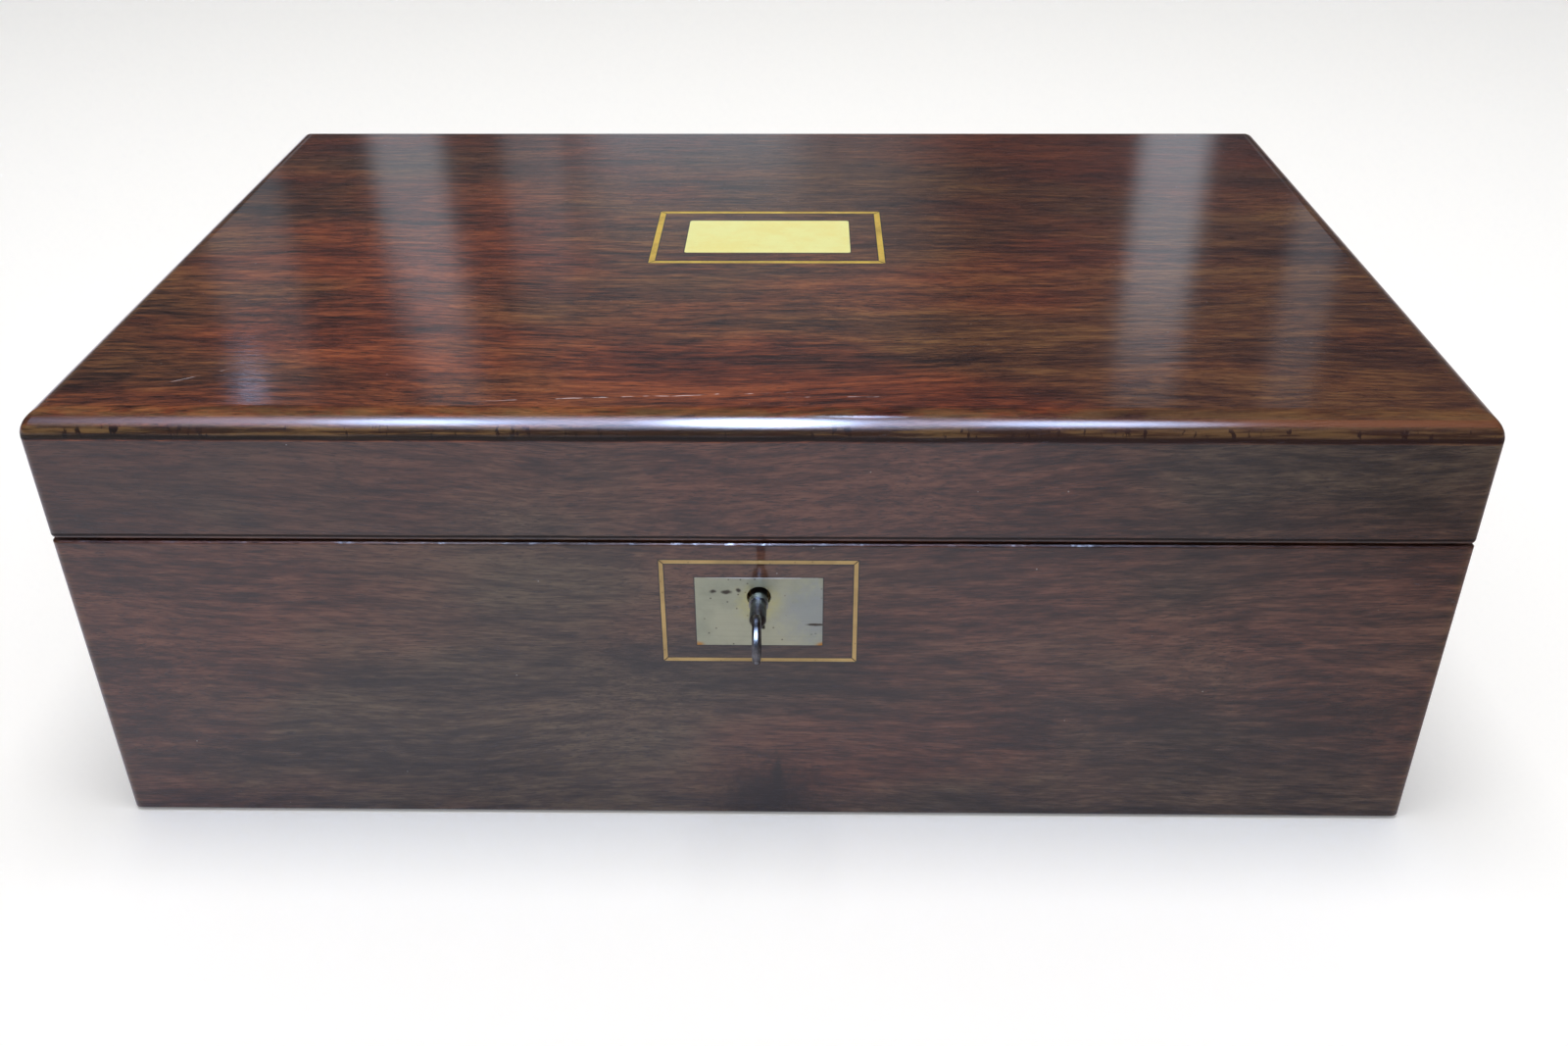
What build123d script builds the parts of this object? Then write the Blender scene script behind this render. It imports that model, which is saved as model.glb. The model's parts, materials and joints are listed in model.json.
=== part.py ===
from build123d import *
from math import atan, cos, sin, sqrt, tan
import os

# Writing slope: a rosewood box cut by a slanting split, so that its lid opens flat behind it
# and the two halves make one long sloping desk. Millimetres, lock side towards -Y, hinges at +Y.

# Outer case
WIDTH = 400.0
DEPTH = 262.0
HEIGHT = 140.5
FRONT_SPLIT = 101.2
WALL = 11.0
BOTTOM_BOARD = 7.0
TOP_BOARD = 7.5
TOP_ROUND = 7.0
CORNER_ROUND = 2.5
FOOT_BEVEL = 1.0
RIM_GAP = 0.5
BASE_RIM_BEVEL = 0.4
LID_RIM_ROUND = 1.6

# Top veneer and brass inlay
VENEER = 0.8
VENEER_INSET = 8.0
TOP_PLATE_X = 56.0
TOP_PLATE_Y = 31.0
TOP_PLATE_THICK = 1.6
TOP_PLATE_CORNER = 1.0
TOP_STRING_X = 78.5
TOP_STRING_Y = 50.0
TOP_STRING_LINE = 2.0
TOP_INLAY_BACK = 5.0
ESCUTCHEON_X = 36.6
ESCUTCHEON_Z = 23.6
ESCUTCHEON_THICK = 1.4
ESCUTCHEON_MIDDLE = 77.8
FRONT_STRING_X = 56.6
FRONT_STRING_Z = 35.4
FRONT_STRING_LINE = 1.2
STRING_DEPTH = 1.2

# Butt hinges
AXIS_OUT = 0.3
HINGE_LENGTH = 38.0
HINGE_MARGIN = 14.0
KNUCKLES = 3
KNUCKLE_RADIUS = 2.3
KNUCKLE_PLAY = 0.3
KNUCKLE_ROOM = 0.3
LEAF_THICK = 1.5
LEAF_WIDTH = 9.5
PIN_RADIUS = 1.0
RUNNING_FIT = 0.05

# Lock
KEY_RISE = 5.2
KEYHOLE_RADIUS = 3.5
KEYHOLE_SLOT = 3.2
KEYHOLE_DROP = 11.2
FACE_WOOD = 3.0
CASE_HALF = 27.0
CASE_DROP = 12.0
CASE_WALL = 1.0
LOCK_PLATE = 1.2
PLATE_HALF = 33.0
PLATE_DROP = 15.0
SELVEDGE = 1.6
SELVEDGE_MARGIN = 2.5
BOLT_THROW = 8.0
BOLT_THICK = 2.0
BOLT_LEFT = 24.0
BOLT_RIGHT = 16.0
FINGER_SIZE = 2.0
FINGER_LENGTH = 12.0
FINGER_POST = 3.0
TIP_GAP = 1.0
BIT_OVERLAP = 2.3
BOLT_PLAY = 0.15
LOCK_ROOM = 0.4

# Link plate in the lid
LINK_HALF = 25.0
LINK_WIDTH = 7.0
LINK_THICK = 1.5
HOOK_THICK = 2.0
HOOK_WIDTH = 4.6
HOOK_EYE = 2.8
HOOK_EYE_DROP = 3.4
HOOK_LENGTH = 6.0

# Key
SHANK_RADIUS = 2.4
BIT_RADIUS = 8.5
BIT_THICK = 1.8
BIT_WIDTH = 5.2
SHANK_END = 1.3
TAPER_LENGTH = 3.2
BOW_OUT = 20.6
BOW_RADIUS = 7.0
BOW_LINE = 2.6
BOW_THICK = 2.2
BOW_BEVEL = 0.6
COLLAR_OUT = 2.0
COLLAR_RADIUS = 2.8
COLLAR_LENGTH = 2.2
DRILL_PIN = 1.5

# Writing flaps
FLAP_SUNK = 1.4
FLAP_THICK = 6.0
FLAP_GAP = 0.7
FLAP_BORDER = 20.0
LEATHER = 0.8
BEARER = 5.0
BEARER_GAP = 0.1
FOLD_MARGIN = 2.0
FOLD_SKIN = 0.6
FOLD_BACK = 0.3
TAB_WIDTH = 13.0
TAB_LENGTH = 16.0
TAB_THICK = 0.5

# Flap catches in the lid
CATCH_X = 95.0
CATCH_LENGTH = 9.0
CATCH_WIDTH = 5.0
CATCH_THICK = 0.9
CATCH_PIN = 1.5
CATCH_PIN_LENGTH = 8.0
CATCH_SINK = 0.05
CATCH_BACK = 6.0
CATCH_ROOM = 0.5

# Fittings at the lock side
BAND = 46.0
RAIL = 6.0
WELL_WIDTH = 40.0
DIVIDER = 5.0
DIVIDER_SUNK = 2.5
WELL_FLOOR_TOP = 39.0
WELL_FLOOR = 5.0
TRAY_THICK = 17.0
TRAY_SUNK = 4.0
TRAY_GAP = 0.4
TROUGH_RADIUS = 24.0
TROUGH_DEPTH = 11.0
TROUGH_END = 9.0
TRAY_REST = 5.0

# Ink bottles
BOTTLE_X = 36.0
BOTTLE_Y = 40.0
BOTTLE_HEIGHT = 42.0
BOTTLE_WALL = 4.0
BOTTLE_BEVEL = 3.0
SHOULDER = 4.0
NECK_RADIUS = 10.0
NECK_BORE = 7.5
NECK_HEIGHT = 7.0
CAP_RADIUS = 12.5
CAP_TOP = 2.0
CAP_BEVEL = 1.0
CAP_GAP = 0.3

# Places that follow from the sizes above
HALF_X = WIDTH / 2
HALF_Y = DEPTH / 2
INNER_X = HALF_X - WALL
INNER_Y = HALF_Y - WALL
AXIS_Y = HALF_Y + AXIS_OUT
AXIS_Z = HEIGHT / 2
SLOPE = atan((FRONT_SPLIT - AXIS_Z) / (DEPTH + AXIS_OUT))
RIM = Plane(origin=(0, AXIS_Y, AXIS_Z), x_dir=(1, 0, 0), z_dir=(0, sin(SLOPE), cos(SLOPE)))
HALF_GAP = RIM_GAP / 2
REACH = 2 * (WIDTH + DEPTH)
OVERCUT = 1.0
LOW = (Align.MIN, Align.MIN, Align.MIN)
STANDING = (Align.CENTER, Align.CENTER, Align.MIN)
HANGING = (Align.CENTER, Align.CENTER, Align.MAX)
BASE_SIDE = -1
LID_SIDE = 1
HINGE_X = HALF_X - HINGE_MARGIN - HINGE_LENGTH / 2
FOLD_HALF = HINGE_X - HINGE_LENGTH / 2 - FOLD_MARGIN
KEY_Z = ESCUTCHEON_MIDDLE + KEY_RISE
CASE_FRONT = FACE_WOOD - HALF_Y
LOCK_Y = (CASE_FRONT + CASE_WALL - INNER_Y) / 2
RAIL_FRONT = BAND - INNER_Y
RAIL_BACK = RAIL_FRONT + RAIL
WELL_INNER = INNER_X - WELL_WIDTH
WELL_X = INNER_X - WELL_WIDTH / 2
WELL_Y = BAND / 2 - INNER_Y
FLAP_UNDER = FLAP_SUNK + FLAP_THICK


def along(y, w):
    """Where an upright plane at depth y meets the level w above the split, along the rim."""
    return (y - AXIS_Y) / cos(SLOPE) - w * tan(SLOPE)


def height_at(y, w):
    """Height of the point at depth y that lies w above the split."""
    return AXIS_Z + (w - (y - AXIS_Y) * sin(SLOPE)) / cos(SLOPE)


def block(x0, x1, y0, y1, z0, z1):
    """Upright block between two values on each axis."""
    return Pos(x0, y0, z0) * Box(x1 - x0, y1 - y0, z1 - z0, align=LOW)


def rim_block(x0, x1, v0, v1, w0, w1):
    """Block square to the rim: v runs back along the rim from the hinge axis, w stands off it."""
    low, high = min(w0, w1), max(w0, w1)
    return RIM.location * Pos(x0, v0, low) * Box(x1 - x0, v1 - v0, high - low, align=LOW)


def below_rim(w):
    """Everything under the level w above the split."""
    return RIM.location * Pos(0, 0, w) * Box(REACH, REACH, REACH, align=HANGING)


def above_rim(w):
    """Everything over the level w above the split."""
    return RIM.location * Pos(0, 0, w) * Box(REACH, REACH, REACH, align=STANDING)


def rod(radius, x0, x1):
    """Round bar along X about the hinge axis."""
    length = x1 - x0
    bar = Rot(0, 90, 0) * Cylinder(radius, length)
    return RIM.location * Pos((x0 + x1) / 2, 0, 0) * bar


def lock_rod(radius, y0, y1):
    """Round bar along Y about the key's axis."""
    bar = Rot(90, 0, 0) * Cylinder(radius, y1 - y0)
    return Pos(0, (y0 + y1) / 2, KEY_Z) * bar


def mitred_strips(length, across, line, depth):
    """Four mitred strips round a rectangle, flush with the plane they are let into."""
    strips = []
    for turn, (run, wide) in enumerate(((length, across), (across, length)) * 2):
        edge = wide / 2
        outline = Polygon(
            (-run / 2, edge),
            (run / 2, edge),
            (run / 2 - line, edge - line),
            (line - run / 2, edge - line),
            align=None,
        )
        strips.append(Rot(0, 0, 90 * turn) * extrude(outline, depth, dir=(0, 0, -1)))
    return strips


def strip_groove(length, across, line, depth):
    """Groove that takes the four strips."""
    outer = Rectangle(length, across)
    inner = Rectangle(length - 2 * line, across - 2 * line)
    return extrude(outer - inner, depth, dir=(0, 0, -1))


def case_form():
    """The closed box as one solid, with rounded top edges and softer upright corners."""
    form = Box(WIDTH, DEPTH, HEIGHT, align=STANDING)
    form = fillet(form.faces().sort_by(Axis.Z)[-1].edges(), TOP_ROUND)
    corners = form.edges().filter_by(Axis.Z) + form.edges().filter_by(GeomType.ELLIPSE)
    form = fillet(corners, CORNER_ROUND)
    return chamfer(form.faces().sort_by(Axis.Z)[0].edges(), FOOT_BEVEL)


def side_prism(side):
    """Upright prism over one side of the case, mitred where it meets its neighbours."""
    corners = {
        "front": ((-1, -1), (1, -1)),
        "right": ((1, -1), (1, 1)),
        "back": ((1, 1), (-1, 1)),
        "left": ((-1, 1), (-1, -1)),
    }
    (ax, ay), (bx, by) = corners[side]
    outline = Polygon(
        (ax * HALF_X, ay * HALF_Y),
        (bx * HALF_X, by * HALF_Y),
        (bx * INNER_X, by * INNER_Y),
        (ax * INNER_X, ay * INNER_Y),
        align=None,
    )
    return extrude(outline, HEIGHT, dir=(0, 0, 1))


def rim_edges(half, side):
    """Outer edges of one half where it meets the split."""
    rim_face = half.faces().sort_by(Axis(RIM.origin, RIM.z_dir))[-1 if side == BASE_SIDE else 0]
    return rim_face.edges()


def hollowed(half):
    """One half of the case without its inside."""
    return half - block(-INNER_X, INNER_X, -INNER_Y, INNER_Y, -OVERCUT, HEIGHT + OVERCUT)


def hinge_pocket(side):
    """Recesses that take the leaves and barrels of both hinges."""
    cut = []
    for centre in (-HINGE_X, HINGE_X):
        x0, x1 = centre - HINGE_LENGTH / 2, centre + HINGE_LENGTH / 2
        deep = side * (HALF_GAP + LEAF_THICK)
        cut.append(rim_block(x0, x1, -LEAF_WIDTH, AXIS_OUT, 0, deep))
        cut.append(rod(KNUCKLE_RADIUS + KNUCKLE_ROOM, x0 - KNUCKLE_PLAY, x1 + KNUCKLE_PLAY))
    return cut


def knuckles(centre, first, radius, play):
    """Every second segment of the hinge barrel, from the given one on."""
    pitch = HINGE_LENGTH / KNUCKLES
    start = centre - HINGE_LENGTH / 2 + play / 2
    return [rod(radius, start + n * pitch, start + (n + 1) * pitch - play) for n in range(first, KNUCKLES, 2)]


def hinge_leaf(centre, side):
    """Leaf let into the rim, with its own knuckles and room for the other leaf's."""
    first = 0 if side == BASE_SIDE else 1
    bore = PIN_RADIUS if side == BASE_SIDE else PIN_RADIUS + RUNNING_FIT
    x0, x1 = centre - HINGE_LENGTH / 2, centre + HINGE_LENGTH / 2
    leaf = rim_block(x0, x1, -LEAF_WIDTH, 0, side * HALF_GAP, side * (HALF_GAP + LEAF_THICK))
    leaf -= knuckles(centre, 1 - first, KNUCKLE_RADIUS + KNUCKLE_ROOM, 0)
    leaf += knuckles(centre, first, KNUCKLE_RADIUS, KNUCKLE_PLAY)
    return leaf - rod(bore, x0, x1)


def hinge_pin(centre):
    return rod(PIN_RADIUS, centre - HINGE_LENGTH / 2, centre + HINGE_LENGTH / 2)


def fold_seat(side):
    """Strip of back rim between the hinges, lowered for the leather that crosses the fold."""
    deep = side * (FLAP_SUNK + FOLD_SKIN)
    return rim_block(-FOLD_HALF, FOLD_HALF, along(INNER_Y, deep) - WALL, AXIS_OUT, 0, deep)


def fold_skin(side):
    """Leather glued on the lowered back rim, level with the flap's leather."""
    top, deep = side * FLAP_SUNK, side * (FLAP_SUNK + FOLD_SKIN)
    skin = rim_block(-FOLD_HALF, FOLD_HALF, -DEPTH, 0, top, deep)
    return skin & block(-FOLD_HALF, FOLD_HALF, INNER_Y, HALF_Y - FOLD_BACK, 0, HEIGHT)


def fold_spine():
    """Leather that joins the two skins across the fold."""
    back = along(HALF_Y, 0) - FOLD_BACK
    return rim_block(-FOLD_HALF, FOLD_HALF, back - FOLD_SKIN, back, -FLAP_SUNK, FLAP_SUNK)


def keyhole(extra, y0, y1):
    """Keyhole through everything between two depths."""
    outline = Circle(KEYHOLE_RADIUS + extra)
    width, drop = KEYHOLE_SLOT + 2 * extra, KEYHOLE_DROP + extra
    outline += Pos(0, -drop / 2) * Rectangle(width, drop)
    plane = Plane(origin=(0, y0, KEY_Z), x_dir=(1, 0, 0), z_dir=(0, -1, 0))
    return extrude(plane * outline, y1 - y0, dir=(0, 1, 0))


def escutcheon():
    """Flush brass plate round the keyhole."""
    plate = block(
        -ESCUTCHEON_X / 2,
        ESCUTCHEON_X / 2,
        -HALF_Y,
        ESCUTCHEON_THICK - HALF_Y,
        ESCUTCHEON_MIDDLE - ESCUTCHEON_Z / 2,
        ESCUTCHEON_MIDDLE + ESCUTCHEON_Z / 2,
    )
    return plate - keyhole(0, -HALF_Y, CASE_FRONT)


def front_inlay_plane():
    return Plane(origin=(0, -HALF_Y, ESCUTCHEON_MIDDLE), x_dir=(1, 0, 0), z_dir=(0, -1, 0)).location


def front_stringing():
    """Mitred brass line round the escutcheon."""
    strips = mitred_strips(FRONT_STRING_X, FRONT_STRING_Z, FRONT_STRING_LINE, STRING_DEPTH)
    return [front_inlay_plane() * strip for strip in strips]


def top_inlay_plane():
    return Pos(0, TOP_INLAY_BACK, HEIGHT)


def top_stringing():
    """Mitred brass line round the lid's plate."""
    strips = mitred_strips(TOP_STRING_X, TOP_STRING_Y, TOP_STRING_LINE, STRING_DEPTH)
    return [top_inlay_plane() * strip for strip in strips]


def top_plate():
    """Flush brass plate in the middle of the lid, left bare."""
    plate = Box(TOP_PLATE_X, TOP_PLATE_Y, TOP_PLATE_THICK, align=HANGING)
    return top_inlay_plane() * fillet(plate.edges().filter_by(Axis.Z), TOP_PLATE_CORNER)


def top_inlay_cut():
    """Recess for the plate and groove for its brass line."""
    groove = strip_groove(TOP_STRING_X, TOP_STRING_Y, TOP_STRING_LINE, STRING_DEPTH)
    return [top_plate(), top_inlay_plane() * groove]


def top_veneer():
    """Sheet of figured rosewood let into the lid inside its rounded edge."""
    across, deep = WIDTH - 2 * VENEER_INSET, DEPTH - 2 * VENEER_INSET
    return Pos(0, 0, HEIGHT) * Box(across, deep, VENEER, align=HANGING)


def selvedge():
    """Top of the lock, let into the sloping rim."""
    front = along(CASE_FRONT - CASE_WALL + SELVEDGE_MARGIN / 2, -HALF_GAP)
    back = along(LOCK_PLATE - INNER_Y, -HALF_GAP)
    return rim_block(-PLATE_HALF, PLATE_HALF, front, back, -HALF_GAP - SELVEDGE, -HALF_GAP)


def hook_places():
    """The link plate's two hooks, each just past the tip of a bolt finger at rest."""
    first = FINGER_LENGTH - BOLT_LEFT + TIP_GAP + HOOK_THICK / 2
    return (first, first + BOLT_LEFT)


def hook_slots():
    """Slots in the lock's top that the hooks drop into."""
    middle = along(LOCK_Y, -HALF_GAP)
    half_x, half_v = HOOK_THICK / 2 + LOCK_ROOM, HOOK_WIDTH / 2 + LOCK_ROOM
    return [
        rim_block(x - half_x, x + half_x, middle - half_v, middle + half_v, -HALF_GAP - 2 * SELVEDGE, 0)
        for x in hook_places()
    ]


def lock_plate():
    """Plate on the inside of the front board, with the slotted top it turns into."""
    back = block(-PLATE_HALF, PLATE_HALF, -INNER_Y, LOCK_PLATE - INNER_Y, KEY_Z - PLATE_DROP, HEIGHT)
    plate = (back & below_rim(-HALF_GAP)) + selvedge()
    plate -= lock_rod(DRILL_PIN, -INNER_Y, LOCK_PLATE - INNER_Y)
    return plate - hook_slots()


def case_block(inset):
    """Room that the lock's case takes in the front board, drawn in by its wall for the hollow."""
    half = CASE_HALF - inset
    low = KEY_Z - CASE_DROP + inset
    room = block(-half, half, CASE_FRONT + inset, -INNER_Y, low, HEIGHT)
    return room & below_rim(-HALF_GAP - SELVEDGE)


def lock_case():
    """Box of the lock, open at the top and towards its plate, with two ledges for the bolt."""
    case = case_block(0) - case_block(CASE_WALL)
    inner = CASE_HALF - CASE_WALL
    top = KEY_Z + BIT_RADIUS - BIT_OVERLAP - BOLT_PLAY
    for side in (-1, 1):
        x0, x1 = sorted((side * (BIT_RADIUS + LOCK_ROOM), side * inner))
        case += block(x0, x1, CASE_FRONT + CASE_WALL, -INNER_Y, top - CASE_WALL, top)
    return case - keyhole(0, CASE_FRONT - CASE_WALL, CASE_FRONT + CASE_WALL)


def finger_middle():
    return height_at(LOCK_Y, -HOOK_EYE_DROP)


def bolt_bar_top():
    return height_at(LOCK_Y, -HOOK_LENGTH) - LOCK_ROOM


def lock_bolt():
    """Sliding bolt: a bar with a wide notch for the key's bit and two fingers for the hooks."""
    y0, y1 = LOCK_Y - BOLT_THICK / 2, LOCK_Y + BOLT_THICK / 2
    low = KEY_Z + BIT_RADIUS - BIT_OVERLAP
    bolt = block(-BOLT_LEFT, BOLT_RIGHT, y0, y1, low, bolt_bar_top())
    reach = sqrt(BIT_RADIUS**2 - (BIT_RADIUS - BIT_OVERLAP) ** 2)
    notch = reach + BOLT_THROW / 2 + LOCK_ROOM
    middle = -BOLT_THROW / 2
    bolt -= block(middle - notch, middle + notch, y0, y1, low, KEY_Z + BIT_RADIUS + LOCK_ROOM)
    finger_top = finger_middle() + FINGER_SIZE / 2
    for start in (-BOLT_LEFT, 0):
        bolt += block(start, start + FINGER_POST, y0, y1, low + BIT_OVERLAP, finger_top)
        bolt += block(start, start + FINGER_LENGTH, y0, y1, finger_top - FINGER_SIZE, finger_top)
    return bolt


def drill_pin():
    """Pin on the lock's plate that the hollow key turns on."""
    return lock_rod(DRILL_PIN, CASE_FRONT + CASE_WALL, LOCK_PLATE - INNER_Y)


def key():
    """Barrel key, standing in the lock with its bit down and its bow upright."""
    bow_y = -HALF_Y - BOW_OUT
    tip = -INNER_Y - LOCK_ROOM
    bow = Cylinder(BOW_RADIUS, BOW_THICK) - Cylinder(BOW_RADIUS - BOW_LINE, BOW_THICK)
    rims = bow.edges().filter_by(GeomType.CIRCLE)
    body = Pos(0, bow_y, KEY_Z) * Rot(0, 90, 0) * chamfer(rims, BOW_BEVEL)
    root = bow_y + BOW_RADIUS - BOW_LINE / 2 + TAPER_LENGTH
    taper = Rot(90, 0, 0) * Cone(SHANK_RADIUS, SHANK_END, TAPER_LENGTH)
    body += Pos(0, root - TAPER_LENGTH / 2, KEY_Z) * taper
    body += lock_rod(SHANK_RADIUS, root, tip)
    collar = -HALF_Y - COLLAR_OUT
    body += lock_rod(COLLAR_RADIUS, collar - COLLAR_LENGTH, collar)
    bit_back = tip - LOCK_ROOM
    body += block(-BIT_THICK / 2, BIT_THICK / 2, bit_back - BIT_WIDTH, bit_back, KEY_Z - BIT_RADIUS, KEY_Z)
    return body - lock_rod(DRILL_PIN + RUNNING_FIT, CASE_FRONT, 0)


def link_plate():
    """Plate in the lid's front rim, with two eyed hooks for the bolt's fingers."""
    middle = along(LOCK_Y, 0)
    v0, v1 = middle - LINK_WIDTH / 2, middle + LINK_WIDTH / 2
    plate = rim_block(-LINK_HALF, LINK_HALF, v0, v1, HALF_GAP, HALF_GAP + LINK_THICK)
    eye = along(LOCK_Y, -HOOK_EYE_DROP)
    for x in hook_places():
        x0, x1 = x - HOOK_THICK / 2, x + HOOK_THICK / 2
        plate += rim_block(x0, x1, middle - HOOK_WIDTH / 2, middle + HOOK_WIDTH / 2, -HOOK_LENGTH, HALF_GAP)
        half = HOOK_EYE / 2
        plate -= rim_block(x0, x1, eye - half, eye + half, -HOOK_EYE_DROP - half, half - HOOK_EYE_DROP)
    return plate


def link_pocket():
    """Recess in the lid's rim for the link plate."""
    middle = along(LOCK_Y, 0)
    v0, v1 = middle - LINK_WIDTH / 2, middle + LINK_WIDTH / 2
    return rim_block(-LINK_HALF, LINK_HALF, v0, v1, 0, HALF_GAP + LINK_THICK)


def flap_span(side):
    """Where a flap starts at its free end and where it ends at the fold, along the rim."""
    if side == BASE_SIDE:
        return along(RAIL_BACK, -FLAP_UNDER) + FLAP_GAP, along(INNER_Y, 0) - FLAP_GAP
    return along(-INNER_Y, FLAP_SUNK) + FLAP_GAP, along(INNER_Y, FLAP_UNDER) - FLAP_GAP


def flap_leather(side):
    """Writing leather, let into the flap inside its wooden border."""
    free, fold = flap_span(side)
    half = INNER_X - FLAP_GAP - FLAP_BORDER
    return rim_block(-half, half, free + FLAP_BORDER, fold, side * FLAP_SUNK, side * (FLAP_SUNK + LEATHER))


def flap_board(side):
    """Wooden flap with the leather's recess."""
    free, fold = flap_span(side)
    half = INNER_X - FLAP_GAP
    board = rim_block(-half, half, free, fold, side * FLAP_SUNK, side * FLAP_UNDER)
    return board - flap_leather(side)


def flap_tab(side):
    """Ribbon tab at the middle of the flap's free edge."""
    free = flap_span(side)[0]
    half = TAB_WIDTH / 2
    return rim_block(-half, half, free, free + TAB_LENGTH, side * (FLAP_SUNK - TAB_THICK), side * FLAP_SUNK)


def bearers(side):
    """Three strips glued round the inside that carry a flap's sides and its free end."""
    top = side * (FLAP_UNDER + BEARER_GAP)
    front = RAIL_BACK if side == BASE_SIDE else -INNER_Y
    inner = INNER_X - BEARER
    level = rim_block(-INNER_X, INNER_X, -REACH, 0, top, top + side * BEARER)
    plans = (
        (-INNER_X, -inner, front, INNER_Y),
        (inner, INNER_X, front, INNER_Y),
        (-inner, inner, front, front + BEARER),
    )
    return [level & block(x0, x1, y0, y1, BOTTOM_BOARD, HEIGHT - TOP_BOARD) for x0, x1, y0, y1 in plans]


def catch_plane(hand):
    """Pivot of a flap catch on the lid's front rim, turned so that the arm rests outwards."""
    place = RIM.location * Pos(hand * CATCH_X, along(CATCH_BACK - HALF_Y, 0), HALF_GAP + CATCH_SINK)
    return place * (Rot(0, 0, 0) if hand > 0 else Rot(0, 0, 180))


def flap_catch(hand):
    """Brass turn-button, rounded at both ends, that swings over the flap's edge."""
    half = CATCH_WIDTH / 2
    reach = CATCH_LENGTH - half
    outline = Circle(half) + Pos(reach / 2, 0) * Rectangle(reach, CATCH_WIDTH) + Pos(reach, 0) * Circle(half)
    outline -= Circle(CATCH_PIN + RUNNING_FIT)
    return catch_plane(hand) * extrude(outline, CATCH_THICK, dir=(0, 0, 1))


def catch_pin(hand):
    """Pin that the catch turns on, driven into the lid's front board."""
    return catch_plane(hand) * Cylinder(CATCH_PIN, CATCH_PIN_LENGTH, align=STANDING)


def catch_pocket(hand):
    """Recess in the lid's rim in which the catch rests and turns."""
    room = CATCH_WIDTH / 2 + CATCH_ROOM
    inward = 1 if hand > 0 else -1
    y0, y1 = sorted((-inward * room, inward * WALL))
    deep = CATCH_THICK + CATCH_SINK
    pocket = Pos(-room, y0, -RIM_GAP) * Box(CATCH_LENGTH + CATCH_ROOM + room, y1 - y0, deep + RIM_GAP, align=LOW)
    return catch_plane(hand) * pocket


def band_rail():
    """Board between the lock-side fittings and the space under the upper flap."""
    board = block(-INNER_X, INNER_X, RAIL_FRONT, RAIL_BACK, BOTTOM_BOARD, HEIGHT)
    return board & below_rim(-FLAP_SUNK)


def well_divider(hand):
    """Upright board between an ink well and the pen tray."""
    x0, x1 = sorted((hand * WELL_INNER, hand * (WELL_INNER - DIVIDER)))
    board = block(x0, x1, -INNER_Y, RAIL_FRONT, BOTTOM_BOARD, HEIGHT)
    return board & below_rim(-DIVIDER_SUNK)


def well_floor(hand):
    """Raised floor that an ink bottle stands on."""
    x0, x1 = sorted((hand * WELL_INNER, hand * INNER_X))
    return block(x0, x1, -INNER_Y, RAIL_FRONT, WELL_FLOOR_TOP - WELL_FLOOR, WELL_FLOOR_TOP)


def tray_top():
    return height_at(RAIL_FRONT, -TRAY_SUNK)


def tray_rest(hand):
    """Strip on the divider that carries one end of the pen tray."""
    outer = WELL_INNER - DIVIDER
    x0, x1 = sorted((hand * outer, hand * (outer - TRAY_REST)))
    top = tray_top() - TRAY_THICK
    return block(x0, x1, -INNER_Y, RAIL_FRONT, top - TRAY_REST, top)


def pen_tray():
    """Wooden tray with one long trough, round across and coved up at both ends."""
    half = WELL_INNER - DIVIDER - TRAY_GAP
    front, back = LOCK_PLATE + TRAY_GAP - INNER_Y, RAIL_FRONT - TRAY_GAP
    top = tray_top()
    tray = block(-half, half, front, back, top - TRAY_THICK, top)
    centre_z = top - TROUGH_DEPTH + TROUGH_RADIUS
    length = 2 * (half - TROUGH_END)
    across = Rot(0, 90, 0) * Cylinder(TROUGH_RADIUS, length)
    coves = extrude(Plane.XZ * SlotOverall(length, 2 * TROUGH_RADIUS), TROUGH_RADIUS, both=True)
    return tray - Pos(0, (front + back) / 2, centre_z) * (across & coves)


def ink_bottle(hand):
    """Square glass bottle with a thick wall, cut corners, a shoulder and a round neck."""
    body = Box(BOTTLE_X, BOTTLE_Y, BOTTLE_HEIGHT, align=STANDING)
    body = chamfer(body.edges().filter_by(Axis.Z), BOTTLE_BEVEL)
    body += Pos(0, 0, BOTTLE_HEIGHT) * Cylinder(NECK_RADIUS, NECK_HEIGHT, align=STANDING)
    inner_x, inner_y = BOTTLE_X - 2 * BOTTLE_WALL, BOTTLE_Y - 2 * BOTTLE_WALL
    body -= Pos(0, 0, BOTTLE_WALL) * Box(inner_x, inner_y, BOTTLE_HEIGHT - BOTTLE_WALL - SHOULDER, align=STANDING)
    body -= Pos(0, 0, BOTTLE_WALL) * Cylinder(NECK_BORE, BOTTLE_HEIGHT + NECK_HEIGHT, align=STANDING)
    return Pos(hand * WELL_X, WELL_Y, WELL_FLOOR_TOP) * body


def ink_cap(hand):
    """Brass cap that turns on the bottle's neck."""
    cap = Cylinder(CAP_RADIUS, NECK_HEIGHT + CAP_TOP, align=STANDING)
    cap = chamfer(cap.faces().sort_by(Axis.Z)[-1].edges(), CAP_BEVEL)
    cap -= Cylinder(NECK_RADIUS + RUNNING_FIT, NECK_HEIGHT, align=STANDING)
    return Pos(hand * WELL_X, WELL_Y, WELL_FLOOR_TOP + BOTTLE_HEIGHT + CAP_GAP) * cap


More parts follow.
